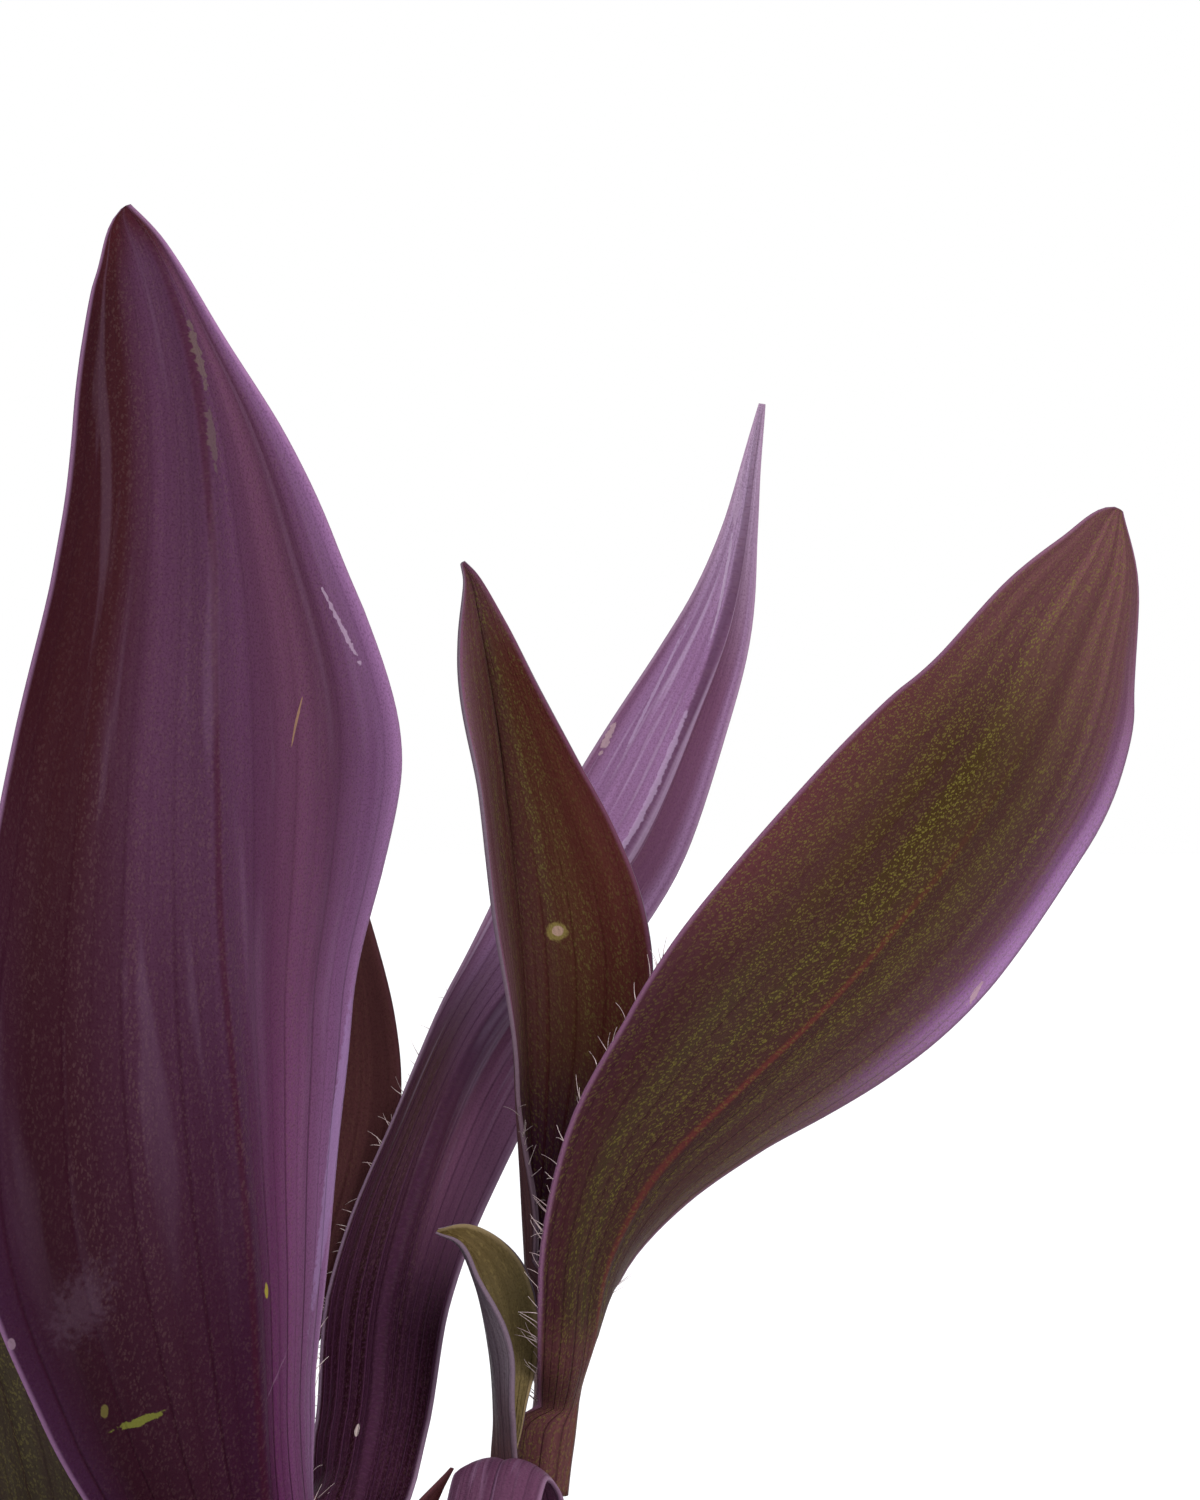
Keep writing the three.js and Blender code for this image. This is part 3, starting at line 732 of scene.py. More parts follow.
# Looks of the leaf faces. The lists give colours across the blade, from one margin over the midrib
# (0.5) to the other, near the stem and near the tip, and "change" where one fades into the other.
# Where a look names no value of its own, this one holds. "margin" is the colour of the painted rim sheen.
plainLook = {
    "change": (0.2, 0.8),
    "bloom": (0.0, (190, 170, 190)),
    "veins": 0.4,
    "veinReach": 0.025,
    "midribEnd": 1.2,
    "poreScale": 3.0,
    "gloss": 0.5,
}
looks = {
    "plum": {
        # Painted light in both lists: the pale stops at 0 are a painted sheen along that margin, the bright
        # half beside it is partly painted light, and the dark maroon half towards 1 is partly painted shade
        # on the side turned from the light and partly the leaf's browner hue.
        "low": [
            (0, (134, 94, 136)), (0.2, (112, 70, 106)), (0.375, (92, 48, 84)), (0.5, (56, 32, 48)),
            (0.66, (56, 34, 44)), (0.87, (46, 29, 35)), (1, (62, 38, 60)),
        ],
        "high": [
            (0, (148, 108, 152)), (0.08, (106, 72, 106)), (0.2, (80, 51, 70)), (0.3, (94, 60, 82)),
            (0.42, (84, 54, 78)), (0.55, (77, 50, 70)), (0.64, (84, 54, 77)), (0.8, (58, 32, 36)),
            (1, (52, 29, 31)),
        ],
        "change": (0.3, 0.75),
        "tip": ((68, 34, 37), 0.94),
        "base": ((44, 22, 34), 0.22),
        "streaks": (0.24, (46, 23, 33)),
        "flecks": (0.3, (98, 76, 74)),
        "margin": (158, 118, 156),
        "bloom": (0.08, (150, 122, 150)),
        "veins": 0.75,
        "veinReach": 0.013,
        "midrib": (62, 30, 42),
        "poreScale": 3.6,
        "seed": 3,
    },
    "orchid": {
        # The pale stops at 0 to 0.1 and at 0.52 in "high" are a painted sheen along the margin and beside
        # the keel, the pale tip is partly a painted highlight over the bloom, and the dark base is painted
        # shade from the leaves in front.
        "low": [
            (0, (140, 98, 130)), (0.32, (138, 92, 122)), (0.45, (78, 48, 62)), (0.6, (72, 50, 54)),
            (0.78, (70, 51, 50)), (1, (62, 44, 46)),
        ],
        "high": [
            (0, (150, 112, 150)), (0.1, (154, 118, 156)), (0.2, (118, 80, 108)), (0.42, (104, 68, 92)),
            (0.52, (150, 112, 152)), (0.85, (142, 106, 144)), (1, (116, 78, 104)),
        ],
        "change": (0.38, 0.6),
        "tip": ((184, 158, 188), 0.78),
        "base": ((38, 21, 27), 0.44),
        "streaks": (0.3, (84, 50, 76)),
        "flecks": (0.15, (120, 92, 92)),
        "margin": (176, 146, 174),
        "bloom": (0.4, (190, 168, 196)),
        "veins": 0.6,
        "veinReach": 0.02,
        "midrib": (66, 40, 58),
        "poreScale": 3.2,
        "gloss": 0.45,
        "seed": 11,
    },
    "bronze": {
        "low": [
            (0, (98, 70, 72)), (0.2, (86, 67, 60)), (0.5, (60, 46, 38)), (0.7, (62, 56, 38)),
            (0.88, (54, 35, 34)), (1, (66, 42, 48)),
        ],
        "high": [
            # The pale violet stops from 0 to 0.11 are a painted sheen: a band along that margin, where the
            # blade curves away and catches the light at a grazing angle.
            (0, (160, 118, 168)), (0.06, (154, 112, 160)), (0.11, (138, 96, 142)), (0.16, (100, 68, 84)),
            (0.3, (76, 55, 52)), (0.5, (64, 51, 32)), (0.7, (58, 44, 27)), (0.85, (74, 50, 42)),
            (1, (84, 48, 52)),
        ],
        "change": (0.3, 0.6),
        "tip": ((110, 74, 76), 0.68),
        "base": ((96, 62, 62), 0.12),
        "streaks": (0.5, (64, 36, 44)),
        "flecks": (0.75, (112, 105, 50)),
        "margin": (140, 98, 130),
        "veins": 0.45,
        "veinReach": 0.016,
        "midrib": (98, 50, 46),
        "midribEnd": 0.75,
        "poreScale": 4.6,
        "seed": 23,
    },
    "cinnamon": {
        "low": [
            (0, (72, 46, 56)), (0.4, (64, 42, 46)), (0.5, (58, 38, 38)), (0.65, (72, 52, 42)),
            (1, (70, 44, 42)),
        ],
        "high": [
            # The pinkish stop at 0 is a painted sheen along that margin, where the blade turns to a grazing
            # angle.
            (0, (116, 86, 98)), (0.25, (82, 58, 57)), (0.5, (74, 54, 52)), (0.68, (78, 54, 40)),
            (0.85, (78, 46, 38)), (1, (84, 46, 44)),
        ],
        "change": (0.05, 0.4),
        "tip": ((92, 64, 68), 0.82),
        "base": ((56, 38, 54), 0.3),
        "streaks": (0.45, (68, 32, 34)),
        "flecks": (0.7, (100, 93, 52)),
        "margin": (124, 80, 108),
        "veins": 0.5,
        "veinReach": 0.018,
        "midrib": (54, 28, 26),
        "poreScale": 4.2,
        "seed": 31,
    },
    "wine": {
        "low": [(0, (78, 50, 52)), (0.5, (66, 40, 42)), (1, (76, 48, 50))],
        "high": [(0, (86, 54, 54)), (0.5, (74, 44, 45)), (1, (84, 52, 53))],
        "tip": ((84, 50, 52), 0.85),
        "base": ((44, 26, 30), 0.3),
        "streaks": (0.35, (46, 26, 28)),
        "flecks": (0.2, (96, 76, 58)),
        "margin": (100, 62, 68),
        "veins": 0.5,
        "veinReach": 0.02,
        "midrib": (50, 26, 28),
        "poreScale": 3.4,
        "gloss": 0.55,
        "seed": 43,
    },
    "moss": {
        "low": [(0, (82, 76, 62)), (0.5, (72, 66, 54)), (1, (82, 76, 62))],
        "high": [(0, (86, 78, 62)), (0.5, (76, 66, 56)), (1, (86, 78, 62))],
        "tip": ((88, 70, 58), 0.85),
        "base": ((56, 48, 44), 0.3),
        "streaks": (0.4, (58, 42, 48)),
        "flecks": (0.6, (118, 110, 66)),
        "margin": (98, 74, 82),
        "veinReach": 0.018,
        "midrib": (60, 44, 44),
        "poreScale": 4.0,
        "gloss": 0.55,
        "seed": 57,
    },
    "honey": {
        "low": [(0, (96, 82, 54)), (0.5, (84, 70, 50)), (1, (96, 82, 54))],
        "high": [(0, (150, 132, 96)), (0.5, (113, 99, 70)), (1, (116, 102, 72))],
        "change": (0.1, 0.6),
        "tip": ((94, 78, 50), 0.7),
        "base": ((88, 70, 54), 0.2),
        "streaks": (0.3, (66, 54, 34)),
        "flecks": (0.35, (150, 132, 86)),
        "margin": (156, 136, 106),
        "veins": 0.5,
        "veinReach": 0.03,
        "midrib": (84, 68, 44),
        "poreScale": 2.8,
        "gloss": 0.4,
        "seed": 61,
    },
    "slate": {
        "low": [(0, (94, 66, 68)), (0.5, (86, 61, 59)), (1, (94, 66, 68))],
        "high": [(0, (98, 88, 96)), (0.5, (86, 75, 82)), (1, (98, 88, 96))],
        "change": (0.2, 0.5),
        "tip": ((104, 92, 98), 0.85),
        "base": ((78, 54, 54), 0.2),
        "streaks": (0.35, (60, 44, 54)),
        "flecks": (0.1, (120, 106, 102)),
        "margin": (122, 102, 118),
        "bloom": (0.08, (150, 132, 150)),
        "midrib": (66, 48, 58),
        "gloss": 0.42,
        "seed": 71,
    },
    "mauve": {
        "low": [(0, (92, 58, 78)), (0.5, (82, 50, 70)), (1, (92, 58, 78))],
        "high": [(0, (102, 66, 90)), (0.5, (90, 57, 79)), (1, (102, 66, 90))],
        "change": (0.2, 0.5),
        "tip": ((102, 68, 92), 0.85),
        "base": ((70, 46, 62), 0.2),
        "streaks": (0.4, (58, 36, 52)),
        "flecks": (0.15, (128, 98, 116)),
        "margin": (150, 116, 144),
        "bloom": (0.3, (146, 114, 144)),
        "midrib": (70, 44, 62),
        "gloss": 0.42,
        "seed": 83,
    },
}

# Upper and under look of each leaf, and its material slot. The rest are bronze over orchid.
plainFaces = ("bronze", "orchid", "leaf_dark")
leafFaces = {
    "leaf_left_hidden_tip": ("wine", "wine", "leaf_dark"),
    "leaf_left_tall_front": ("moss", "plum", "leaf_purple"),
    "leaf_left_slim_back": ("wine", "orchid", "leaf_violet"),
    "leaf_left_young_back": ("wine", "wine", "leaf_dark"),
    "leaf_middle_bent_front": ("mauve", "mauve", "leaf_grey"),
    "leaf_middle_small_hook": ("honey", "slate", "leaf_olive"),
    "leaf_middle_broad_right": ("moss", "bronze", "leaf_olive"),
    "leaf_middle_upright_middle": ("cinnamon", "slate", "leaf_olive"),
    "leaf_back_left_corner": ("moss", "moss", "leaf_olive"),
}


# Colours are those of a leaf in the studio's light, so the paint itself is a little darker.
paintShare = 0.82
sheen = 0.006  # what the leaf's shine adds to its colour
gloss = 0.03


def paint(colour):
    channels = [max(0.001, channel * paintShare - sheen) for channel in tint(*colour)[:3]]
    return (*channels, 1)


def veinStops(reach):
    # white at each vein's share of the half blade and black between them, strong and weak by turns
    stops = [(0, (0, 0, 0, 1))]
    for k, vein in enumerate(leafMake["veins"]):
        bright = 1 if k % 2 else 0.4
        stops.append((vein - reach, (0, 0, 0, 1)))
        stops.append((vein, (bright, bright, bright, 1)))
        stops.append((vein + reach, (0, 0, 0, 1)))
    return stops


def blemish(finish, across, up, ragged, mark):
    # share of a spot, scratch or film that covers a point, with a ragged edge
    x, y = mark["at"]
    wide, long = mark["size"]
    lean = math.radians(mark["turn"])
    right = across - x
    ahead = up - y
    u = (right * math.cos(lean) + ahead * math.sin(lean)) / wide
    v = (ahead * math.cos(lean) - right * math.sin(lean)) / long
    away = (u * u + v * v) ** 0.5 + ragged * mark["ragged"]
    return finish.fade(away, 1.0, 1 - mark["soft"]) * mark["strength"]


def leafSkin(name, look, marks=()):
    look = {**plainLook, **look}
    finish = Finish(name)
    s, share, opened = finish.parts(finish.stored("place"))
    across, up, width = finish.parts(finish.stored("measure"))
    seed = look["seed"]
    drift = finish.grain(finish.vector(s * 1.3, share * 3, seed), 1.0) - 0.5

    # ground colour
    side = s * 0.5 + 0.5 + drift * 0.1
    low = finish.ramp(side, [(position, paint(colour)) for position, colour in look["low"]])
    high = finish.ramp(side, [(position, paint(colour)) for position, colour in look["high"]])
    colour = finish.blend(low, high, finish.fade(share + drift * 0.25, *look["change"]))
    shade, reach = look["base"]
    colour = finish.blend(colour, paint(shade), finish.fade(share + drift * 0.1, reach, reach * 0.5))
    shade, start = look["tip"]
    colour = finish.blend(colour, paint(shade), finish.fade(share + drift * 0.1, start, 1.0))

    # soft bands along the blade with finer threads in them
    bands = finish.grain(finish.vector(s * 6, share * 1.3, seed + 1), 1.0, 3.0)
    threads = finish.grain(finish.vector(s * 30, share * 7, seed + 2), 1.0, 2.0, 0.5)
    amount, dark = look["streaks"]
    streak = finish.fade(bands * 0.85 + threads * 0.15, 0.62, 0.38)
    colour = finish.blend(colour, paint(dark), streak * amount)

    # veins as dark lines, plainest in the lower half, and the midrib
    wobble = finish.grain(finish.vector(s * 2, share * 5, seed + 3), 1.0) - 0.5
    line = finish.ramp(abs(s) + wobble * 0.012, veinStops(look["veinReach"]))
    deep = finish.fade(share + drift * 0.4, 0.75, 0.2) * 0.85 + 0.15
    end = look["midribEnd"]
    midline = finish.fade(abs(across + wobble), 0.4, 0.08) * finish.fade(share, end, end - 0.35)
    colour = finish.blend(colour, paint(dark), line * deep * look["veins"])
    colour = finish.blend(colour, paint(look["midrib"]), midline * 0.6)

    # squiggly flecks of the leaf's pores between the bands, and a fine mottle
    twist = finish.grain(finish.vector(across, up * 0.6, seed + 4), 3.0) * 0.5
    cells = finish.vector(across + twist, up * 0.55 - twist, seed)
    inputs = {"Vector": cells, "Scale": look["poreScale"]}
    pores = finish.add("ShaderNodeTexVoronoi", {}, inputs, "Distance")
    amount, pale = look["flecks"]
    patch = finish.fade(finish.grain(finish.vector(s * 2, share * 3, seed + 5), 1.0), 0.36, 0.6)
    centre = finish.fade(abs(s), 1.0, 0.35)
    fleck = finish.fade(pores, 0.5, 0.22) * (patch * 0.4 + centre * 0.4 + 0.2) * (1 - streak * 0.6)
    colour = finish.blend(colour, paint(pale), fleck * amount)
    mottle = finish.grain(finish.vector(across, up * 0.8, seed + 6), 5.0, 1.5)
    colour = finish.blend(colour, paint(dark), finish.fade(mottle, 0.52, 0.34) * 0.3)

    # pale bloom in long scuffs
    scuff = finish.grain(finish.vector(s * 6, share * 3.2, seed + 7), 1.0, 3.0, 0.4)
    amount, pale = look["bloom"]
    bloom = finish.fade(scuff, 0.56, 0.68) * finish.fade(share, 0.25, 0.6)
    colour = finish.blend(colour, paint(pale), bloom * amount)

    # painted rim sheen: a thin bright band along each opened margin, where the leaf catches the light at a
    # grazing angle
    paintedRimSheen = finish.fade(width - abs(across), 0.6, 0.1) * opened
    colour = finish.blend(colour, paint(look["margin"]), paintedRimSheen * 0.6)

    # spots, scratches and dried films of one leaf
    ragged = finish.grain(finish.vector(across, up, seed + 8), 1.6, 3.0) - 0.5
    for mark in marks:
        cover = blemish(finish, across, up, ragged, mark)
        colour = finish.blend(colour, paint(mark["colour"]), cover)

    height = mottle * 0.4 - pores * 0.3 + threads * 0.4 - line * deep - midline * 0.5
    roughness = bands * 0.2 + mottle * 0.1 + (look["gloss"] - 0.15)
    return finish.close(colour, roughness, height, 0.00014, Specular_IOR_Level=gloss)


skins = {name: leafSkin(name + "_leaf", look) for name, look in looks.items()}
print("leaf looks are mixed")


# Spots, scratches and dried films of single leaves: millimetres across from the midrib and up it,
# half width and half length, lean in degrees. A high "ragged" breaks a mark up.
def leafMark(at, size, colour, strength, turn=0, ragged=0.6, soft=0.25):
    return {
        "at": at,
        "size": size,
        "colour": colour,
        "strength": strength,
        "turn": turn,
        "ragged": ragged,
        "soft": soft,
    }


leafMarks = {
    "leaf_left_tall_front": [
        leafMark((-0.6, 160), (0.5, 4.5), (100, 86, 80), 0.6, ragged=1.6),
        leafMark((-0.6, 151), (0.45, 3.4), (96, 82, 78), 0.5, ragged=1.8),
        leafMark((-10, 125.2), (0.16, 3.2), (136, 108, 84), 0.8, turn=13),
        leafMark((-15.2, 136), (0.3, 3.8), (158, 136, 158), 0.7, turn=-40, ragged=2.4),
        leafMark((-14.8, 79), (1.4, 19), (138, 110, 150), 0.6, turn=17.6, ragged=0.8),
        leafMark((-2, 69.9), (0.3, 0.9), (142, 130, 52), 0.9),
        leafMark((11.2, 59.8), (0.5, 2.5), (104, 106, 50), 0.85, turn=77, ragged=1.4),
        leafMark((14.4, 61.5), (0.4, 0.8), (104, 98, 54), 0.6),
        leafMark((22.3, 69.9), (0.4, 0.7), (150, 124, 140), 0.5),
        leafMark((15.5, 73), (6, 3.4), (96, 76, 92), 0.22, turn=-60, ragged=1.6, soft=0.9),
        leafMark((-3, 60), (0.15, 3), (128, 100, 122), 0.4, turn=50, ragged=1.2),
    ],
    "leaf_left_slim_back": [
        leafMark((4.9, 119), (0.22, 9), (172, 148, 178), 0.55, turn=4, ragged=1.2),
        leafMark((0.2, 108), (0.25, 12), (176, 152, 182), 0.6, ragged=1.0),
        leafMark((0.9, 132), (0.25, 7), (186, 164, 190), 0.6, turn=-3, ragged=1.2),
        leafMark((1.2, 142), (0.5, 3.6), (178, 152, 178), 0.5, ragged=1.8),
        leafMark((8.3, 113), (0.5, 2), (182, 156, 160), 0.6, ragged=2.0),
        leafMark((1.6, 31.1), (0.35, 0.8), (182, 164, 162), 0.9),
    ],
    "leaf_middle_upright_middle": [
        leafMark((4, 42.8), (1.15, 1.1), (120, 106, 62), 0.95, ragged=0.8),
        leafMark((4.1, 42.9), (0.65, 0.6), (160, 132, 118), 0.95),
    ],
    "leaf_middle_broad_right": [
        leafMark((-15, 74.6), (0.6, 1.5), (176, 146, 156), 0.8, turn=-20, ragged=1.8),
        leafMark((-15.6, 112), (0.4, 3.4), (176, 150, 178), 0.5, ragged=2.2),
    ],
}

# which face of a marked leaf has the marks: 0 is the upper one, 1 the one below
markedFaces = {
    "leaf_left_tall_front": 1,
    "leaf_left_slim_back": 1,
    "leaf_middle_upright_middle": 0,
    "leaf_middle_broad_right": 1,
}

stems = {name: Stem(facts) for name, facts in shoots.items()}
leaves = {}
for shootName, facts in shoots.items():
    for leafFacts in facts["leaves"]:
        name = f"leaf_{shootName}_{leafFacts['name']}"
        leaf = Leaf(stems[shootName], leafFacts)
        *faceLooks, slot = leafFaces.get(name, plainFaces)
        faces = [skins[look] for look in faceLooks]
        if name in leafMarks:
            marked = markedFaces[name]
            look = looks[faceLooks[marked]]
            faces[marked] = leafSkin(name + "_seen", look, leafMarks[name])
        kind = "tall" if leafFacts is tallFront else "shaped" if leaf.shaped else "plain"
        makeLeaf(name, leaf, slot, faces, *leafMake["meshes"][kind])
        leaves[name] = leaf
print("leaves are shaped:", len(leaves))


# Stems: jointed rods with a swollen ring under each sheath and shallow ribs
stemMake = {
    "around": 24,
    "rows": 120,
    "ring": 0.45,
    "ringWidth": 0.9,
    "ringDrop": 1.6,  # from a sheath's foot down to its ring
    "ribs": 5,
    "ribHeight": 0.1,
    "dome": 2.0,
}


def stemSkin():
    finish = Finish("stem_skin")
    turn, share, joint = finish.parts(finish.stored("place"))
    streak = finish.grain(finish.vector(turn * 9, share * 9, 2), 1.0, 3.0)
    mottle = finish.grain(finish.place(), 900.0, 2.0)
    stops = [(0.3, tint(66, 34, 52)), (0.5, tint(96, 56, 78)), (0.72, tint(96, 80, 62))]
    colour = finish.ramp(streak, stops)
    colour = finish.blend(colour, tint(54, 28, 42), finish.fade(mottle, 0.55, 0.35) * 0.4)
    colour = finish.blend(colour, tint(140, 112, 96), joint * 0.6)
    height = streak * 0.6 + mottle * 0.4
    return finish.close(colour, 0.4 + streak * 0.15, height, 0.0002, Specular_IOR_Level=0.3)


def makeStem(name, stem, joints, material):
    bm = bmesh.new()
    around, rows = stemMake["around"], stemMake["rows"]
    bmesh.ops.create_grid(bm, x_segments=around, y_segments=rows, size=1)
    place = bm.verts.layers.float_vector.new("place")
    length = stem.path.length
    ringDrop, ringWidth = stemMake["ringDrop"], stemMake["ringWidth"]
    for vert in bm.verts:
        turn = (vert.co.x + 1) * math.pi
        distance = length * (vert.co.y + 1) / 2
        tangent = stem.path.heading(distance)
        front = unit(np.cross(tangent, [0, 1, 0]))
        joint = sum(math.exp(-(((distance - at + ringDrop) / ringWidth) ** 2)) for at in joints)
        past = max(0, 1 - (length - distance) / stemMake["dome"])
        dome = math.sqrt(max(0.02, 1 - past**2))
        ribs = stemMake["ribHeight"] * math.cos(stemMake["ribs"] * turn)
        radius = (stem.radiusAt(distance) + stemMake["ring"] * joint + ribs) * dome
        side = math.cos(turn) * front + math.sin(turn) * np.cross(tangent, front)
        vert[place] = (turn, distance / length, joint)
        vert.co = Vector(stem.path.place(distance) + radius * side) * mm
    bmesh.ops.remove_doubles(bm, verts=bm.verts, dist=1e-6)
    ends = [edge for edge in bm.edges if edge.is_boundary]
    bmesh.ops.holes_fill(bm, edges=ends, sides=0)
    bmesh.ops.recalc_face_normals(bm, faces=bm.faces)
    return keep(bm, name + "_rod", "stem", [material], name)


stemFinish = stemSkin()
for shootName, facts in shoots.items():
    joints = [leafFacts["at"] for leafFacts in facts["leaves"]]
    makeStem("stem_" + shootName, stems[shootName], joints, stemFinish)
print("stems are made")


# Soil: fills the pot, with crumbs, bark and a few perlite grains on top
soilMake = {
    "height": 84,
    "edge": 47.6,
    "rings": range(46),  # radii of the rings that the top is made of
    "below": [(47.6 - 4.5, 50), (34, 6.3), (0, 6.3)],
    "around": 160,
    "swell": 1.6,
    "dip": 2,
    "clods": [(0.7, 3, 0.22), (0.35, 9, 0.7)],  # height, seed and fineness
    "crumbs": 460,
    "crumbReach": 45.5,
    "crumbSize": (0.5, 1.9),
    "crumbShape": ((0.7, 1.5), (0.6, 1), (0.4, 0.9)),
    "perlite": 0.07,
    "seed": 8,
}


def soilHeight(x, y):
    radius = min(1, math.hypot(x, y) / soilMake["edge"])
    turn = math.atan2(y, x)
    rounds = math.sin(3 * turn + 4 * radius) * math.cos(2 * turn - 3 * radius)
    swell = soilMake["swell"] * radius * rounds
    rough = sum(high * noise.noise(Vector((x, y, seed)) * fine) for high, seed, fine in soilMake["clods"])
    return soilMake["height"] - soilMake["dip"] * radius**4 + swell + rough * (1 - radius**6)


def soilFinish():
    finish = Finish("soil_peat")
    place = finish.place()
    crumb = finish.grain(place, 420.0, 4.0)
    clod = finish.grain(place, 90.0, 3.0)
    stops = [(0.3, tint(26, 19, 14)), (0.55, tint(52, 38, 28)), (0.75, tint(84, 64, 46))]
    colour = finish.ramp(crumb, stops)
    colour = finish.blend(colour, tint(30, 22, 17), finish.fade(clod, 0.6, 0.4) * 0.6)
    return finish.close(colour, 0.95, crumb + clod, 0.0012, Specular_IOR_Level=0.2)


def crumbFinish():
    finish = Finish("soil_crumb")
    kind = finish.stored("kind", "Fac")
    crumb = finish.grain(finish.place(), 900.0, 3.0)
    peat = [(0.0, tint(32, 23, 17)), (0.45, tint(58, 42, 30))]
    bark = [(0.8, tint(92, 66, 44)), (0.98, tint(104, 78, 54))]
    colour = finish.ramp(kind, peat + bark)
    colour = finish.blend(colour, tint(206, 202, 190), finish.fade(kind, 0.985, 1.0))
    colour = finish.blend(colour, tint(24, 18, 14), finish.fade(crumb, 0.5, 0.35) * 0.5)
    return finish.close(colour, 0.95, crumb, 0.0004, Specular_IOR_Level=0.2)


def makeSoil(look):
    profile = [(r, look["height"]) for r in look["rings"]] + [(look["edge"], look["height"])]
    bm = turned(profile + look["below"], look["around"])
    for vert in bm.verts:
        if vert.co.z > (look["height"] - 1) * mm:
            vert.co.z = soilHeight(vert.co.x / mm, vert.co.y / mm) * mm
    bmesh.ops.recalc_face_normals(bm, faces=bm.faces)
    return keep(bm, "soil_fill", "soil", [soilFinish()], "soil")


def makeCrumbs(look):
    bm = bmesh.new()
    kind = bm.verts.layers.float.new("kind")
    dice = random.Random(look["seed"])
    for _ in range(look["crumbs"]):
        turn = dice.uniform(0, 2 * math.pi)
        radius = look["crumbReach"] * math.sqrt(dice.random())
        x, y = radius * math.cos(turn), radius * math.sin(turn)
        size = dice.uniform(*look["crumbSize"])
        white = dice.random() < look["perlite"]
        shade = 1.0 if white else dice.uniform(0, 0.98) ** 1.6
        stretch = Vector([dice.uniform(*spread) for spread in look["crumbShape"]])
        middle = Vector((x, y, soilHeight(x, y) + 0.1 * size)) * mm
        tip = Matrix.Rotation(dice.uniform(-0.5, 0.5), 4, "X")
        tip = tip @ Matrix.Rotation(dice.uniform(0, 6.3), 4, "Z")
        matrix = Matrix.Translation(middle) @ tip @ Matrix.Diagonal((*stretch * size * mm, 1))
        made = bmesh.ops.create_icosphere(bm, subdivisions=2, radius=1, matrix=matrix)
        for vert in made["verts"]:
            vert[kind] = shade
            bump = noise.noise(vert.co * 900 + Vector((size, x, y)))
            vert.co += (vert.co - middle) * 0.35 * bump
    return keep(bm, "soil_crumbs", "soil", [crumbFinish()])


makeSoil(soilMake)
makeCrumbs(soilMake)
print("soil is filled in")


# Pot: a turned clay pot with a rim band, finger-smoothed edges and drain holes
potMake = {
    "outside": [(0, 0), (20, 0), (37.5, 0), (38.6, 0.4), (39, 1.5), (51, 74), (53.6, 74.4), (55, 75.5)],
    "lip": [(57, 95.3), (56.7, 96.5), (55.6, 97), (53.6, 97), (52.4, 96.6), (52, 95.4)],
    "inside": [(34.2, 7.5), (32.8, 6.2), (31.5, 6), (0, 6)],
    "around": 192,
    "wallCuts": 14,
    "drain": 4.5,
    "drainRing": 19,
    "drains": 3,
    "wobble": 0.18,
}


def potFinish():
    finish = Finish("pot_clay")
    place = finish.place()
    x, y, z = finish.parts(place)
    patches = finish.grain(place, 22.0, 4.0)
    sand = finish.grain(place, 1400.0, 2.0)
    rings = finish.grain(finish.vector(x * 3, y * 3, z * 520), 1.0, 2.0)
    stops = [(0.3, tint(150, 82, 55)), (0.5, tint(176, 102, 70)), (0.7, tint(194, 124, 90))]
    colour = finish.ramp(patches, stops)
    colour = finish.blend(colour, tint(128, 66, 44), finish.fade(sand, 0.62, 0.72) * 0.5)
    # lime bloom that dries out of the clay, mostly under the rim band and near the foot
    cloud = finish.grain(place, 60.0, 5.0, 0.5)
    band = finish.fade(z, 0.06, 0.078) * finish.fade(z, 0.1, 0.08)
    where = finish.fade(z, 0.05, 0.0) * 0.6 + band * 0.5
    colour = finish.blend(colour, tint(214, 190, 170), finish.fade(cloud, 0.5, 0.72) * where)
    height = sand * 0.35 + rings * 0.65
    return finish.close(colour, 0.84 - patches * 0.1, height, 0.0005, Specular_IOR_Level=0.3)


def makePot(look):
    profile = look["outside"] + look["lip"] + look["inside"]
    bm = turned(profile, look["around"], look["wallCuts"])
    for vert in bm.verts:
        if vert.co.z > 0.01:
            spot = Vector((vert.co.x * 20, vert.co.y * 20, vert.co.z * 60))
            vert.co.xy *= 1 + look["wobble"] * noise.noise(spot) * mm / 0.05
    bmesh.ops.recalc_face_normals(bm, faces=bm.faces)
    pot = keep(bm, "pot_shell", "pot", [potFinish()], "pot")
    cutter = bmesh.new()
    for i in range(look["drains"]):
        angle = 2 * math.pi * (i + 0.5) / look["drains"]
        ring = look["drainRing"] * mm
        spot = Matrix.Translation((ring * math.cos(angle), ring * math.sin(angle), 0.003))
        radii = {"radius1": look["drain"] * mm, "radius2": look["drain"] * mm}
        bmesh.ops.create_cone(cutter, cap_ends=True, segments=40, depth=0.02, matrix=spot, **radii)
    drains = show(cutter, "drains")
    holes = pot.modifiers.new("drains", "BOOLEAN")
    holes.object = drains
    holes.operation = "DIFFERENCE"
    bpy.context.view_layer.update()
    finished = pot.evaluated_get(bpy.context.evaluated_depsgraph_get())
    pierced = bpy.data.meshes.new_from_object(finished)
    pot.modifiers.clear()
    pot.data = pierced
    pot.data.set_sharp_from_angle(angle=math.radians(40))
    bpy.data.objects.remove(drains)
    return pot


makePot(potMake)
print("pot is turned")


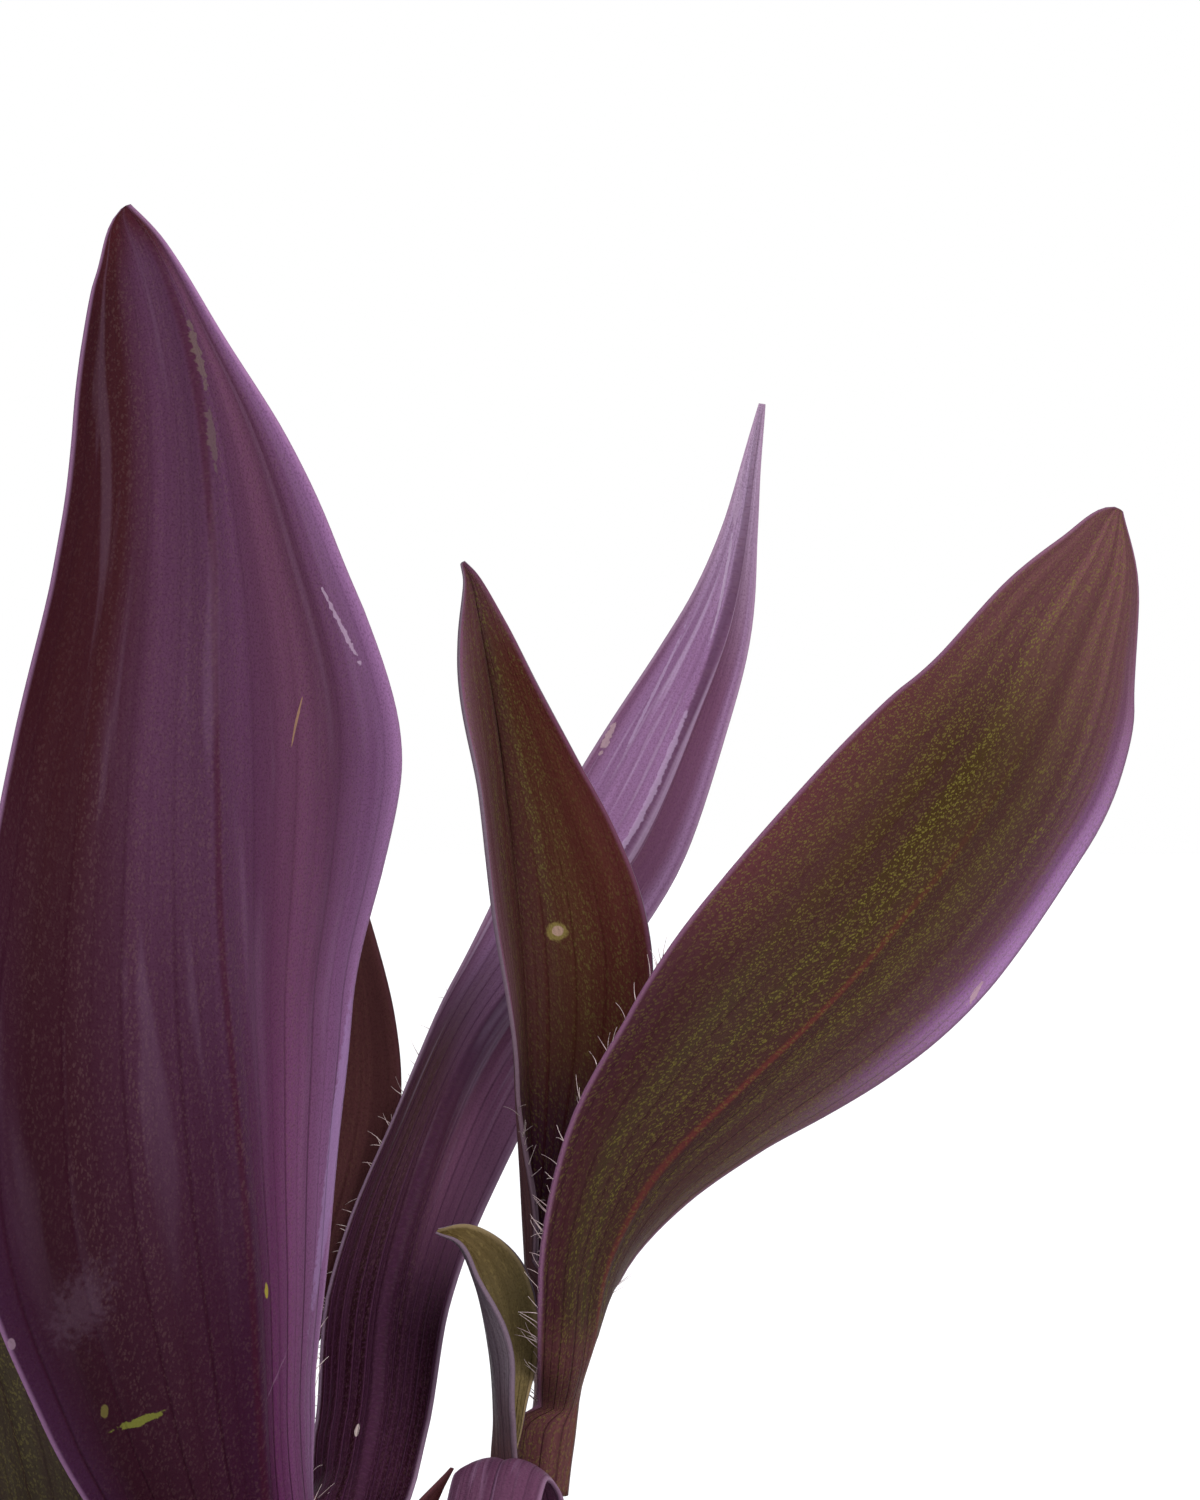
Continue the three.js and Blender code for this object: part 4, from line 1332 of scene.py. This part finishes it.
# Hairs along the sheath mouths and the lower margins
hairMake = {
    "thick": 0.07,
    "long": (1.2, 2.8),
    "steps": 4,
    "bend": 0.35,
    "taper": 0.72,
    "atMouth": 7,  # hairs on each side of a sheath's mouth
    "seed": 5,
}
hairRows = [
    # leaf, margin, first and last distance up the midrib, hairs
    ("leaf_middle_broad_right", 1, 14, 52, 46),
    ("leaf_middle_broad_right", -1, 12, 24, 8),
    ("leaf_left_slim_back", 1, 14, 80, 54),
    ("leaf_middle_upright_middle", -1, 12, 26, 12),
    ("leaf_left_tall_front", -1, 14, 60, 22),
    ("leaf_left_young_back", 1, 12, 40, 16),
]


def hairFinish():
    finish = Finish("leaf_hair")
    shade = finish.grain(finish.place(), 400.0, 2.0)
    colour = finish.ramp(shade, [(0.35, tint(150, 128, 130)), (0.65, tint(196, 178, 176))])
    return finish.close(colour, 0.4 + shade * 0.2, shade, 0.00002)


def hairPlans(look):
    # root, first lean, droop and length of each hair
    dice = random.Random(look["seed"])
    rows = [(leaves[name], *row) for name, *row in hairRows]
    for leaf in leaves.values():
        mouth = (leaf.sheath - 0.5, leaf.neckAt + 3, look["atMouth"])
        rows += [(leaf, side, *mouth) for side in (-1, 1)]
    for leaf, side, first, last, count in rows:
        for _ in range(count):
            row = leaf.row(dice.uniform(first, last))
            root = leaf.point(row, side)
            outward = unit(root - leaf.point(row, side * 0.97))
            tangent = leaf.midrib.heading(row["distance"])
            lean = outward + dice.uniform(0.1, 0.9) * tangent
            lean = unit(lean + dice.uniform(-0.7, 0.7) * row["normal"])
            droop = dice.uniform(-0.5, 0.4) * tangent + dice.uniform(-0.4, 0.4) * row["normal"]
            yield root - 0.15 * outward, lean, droop, dice.uniform(*look["long"])


def makeHairs(look):
    # each hair starts as a small triangle on its root, and all of them grow together, step by step
    plans = list(hairPlans(look))
    bm = bmesh.new()
    for root, lean, droop, long in plans:
        aim = Vector((0, 0, 1)).rotation_difference(Vector(lean)).to_matrix().to_4x4()
        spot = Matrix.Translation(Vector(root) * mm) @ aim
        thick = look["thick"] * mm
        bmesh.ops.create_circle(bm, cap_ends=True, segments=3, radius=thick, matrix=spot)
    number = bm.verts.layers.int.new("number")
    for k, vert in enumerate(bm.verts):
        vert[number] = k // 3
    tips = bm.faces[:]
    steps = look["steps"]
    for step in range(1, steps + 1):
        grown = bmesh.ops.extrude_face_region(bm, geom=tips)["geom"]
        tips = [part for part in grown if isinstance(part, bmesh.types.BMFace)]
        for face in tips:
            root, lean, droop, long = plans[face.verts[0][number]]
            move = Vector(unit(lean + droop * step * look["bend"])) * long / steps * mm
            middle = face.calc_center_median()
            for vert in face.verts:
                vert.co = middle + (vert.co - middle) * look["taper"] + move
    bmesh.ops.recalc_face_normals(bm, faces=bm.faces)
    return keep(bm, "leaf_hairs", "leaf_violet", [hairFinish()])


makeHairs(hairMake)
print("hairs are set")


# Floor
def makeFloor(reach):
    finish = Finish("floor_pale")
    cloud = finish.grain(finish.place(), 3.0)
    colour = finish.blend(tint(240, 241, 243), tint(246, 247, 249), cloud)
    bm = bmesh.new()
    bmesh.ops.create_grid(bm, x_segments=8, y_segments=8, size=reach)
    floor = show(bm, "floor", [finish.close(colour, 0.8, cloud, 0.0001)])
    floor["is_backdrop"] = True


makeFloor(studio["floorReach"])

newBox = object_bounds()
[[list(corner) for corner in box] for box in (cadBox, newBox)]
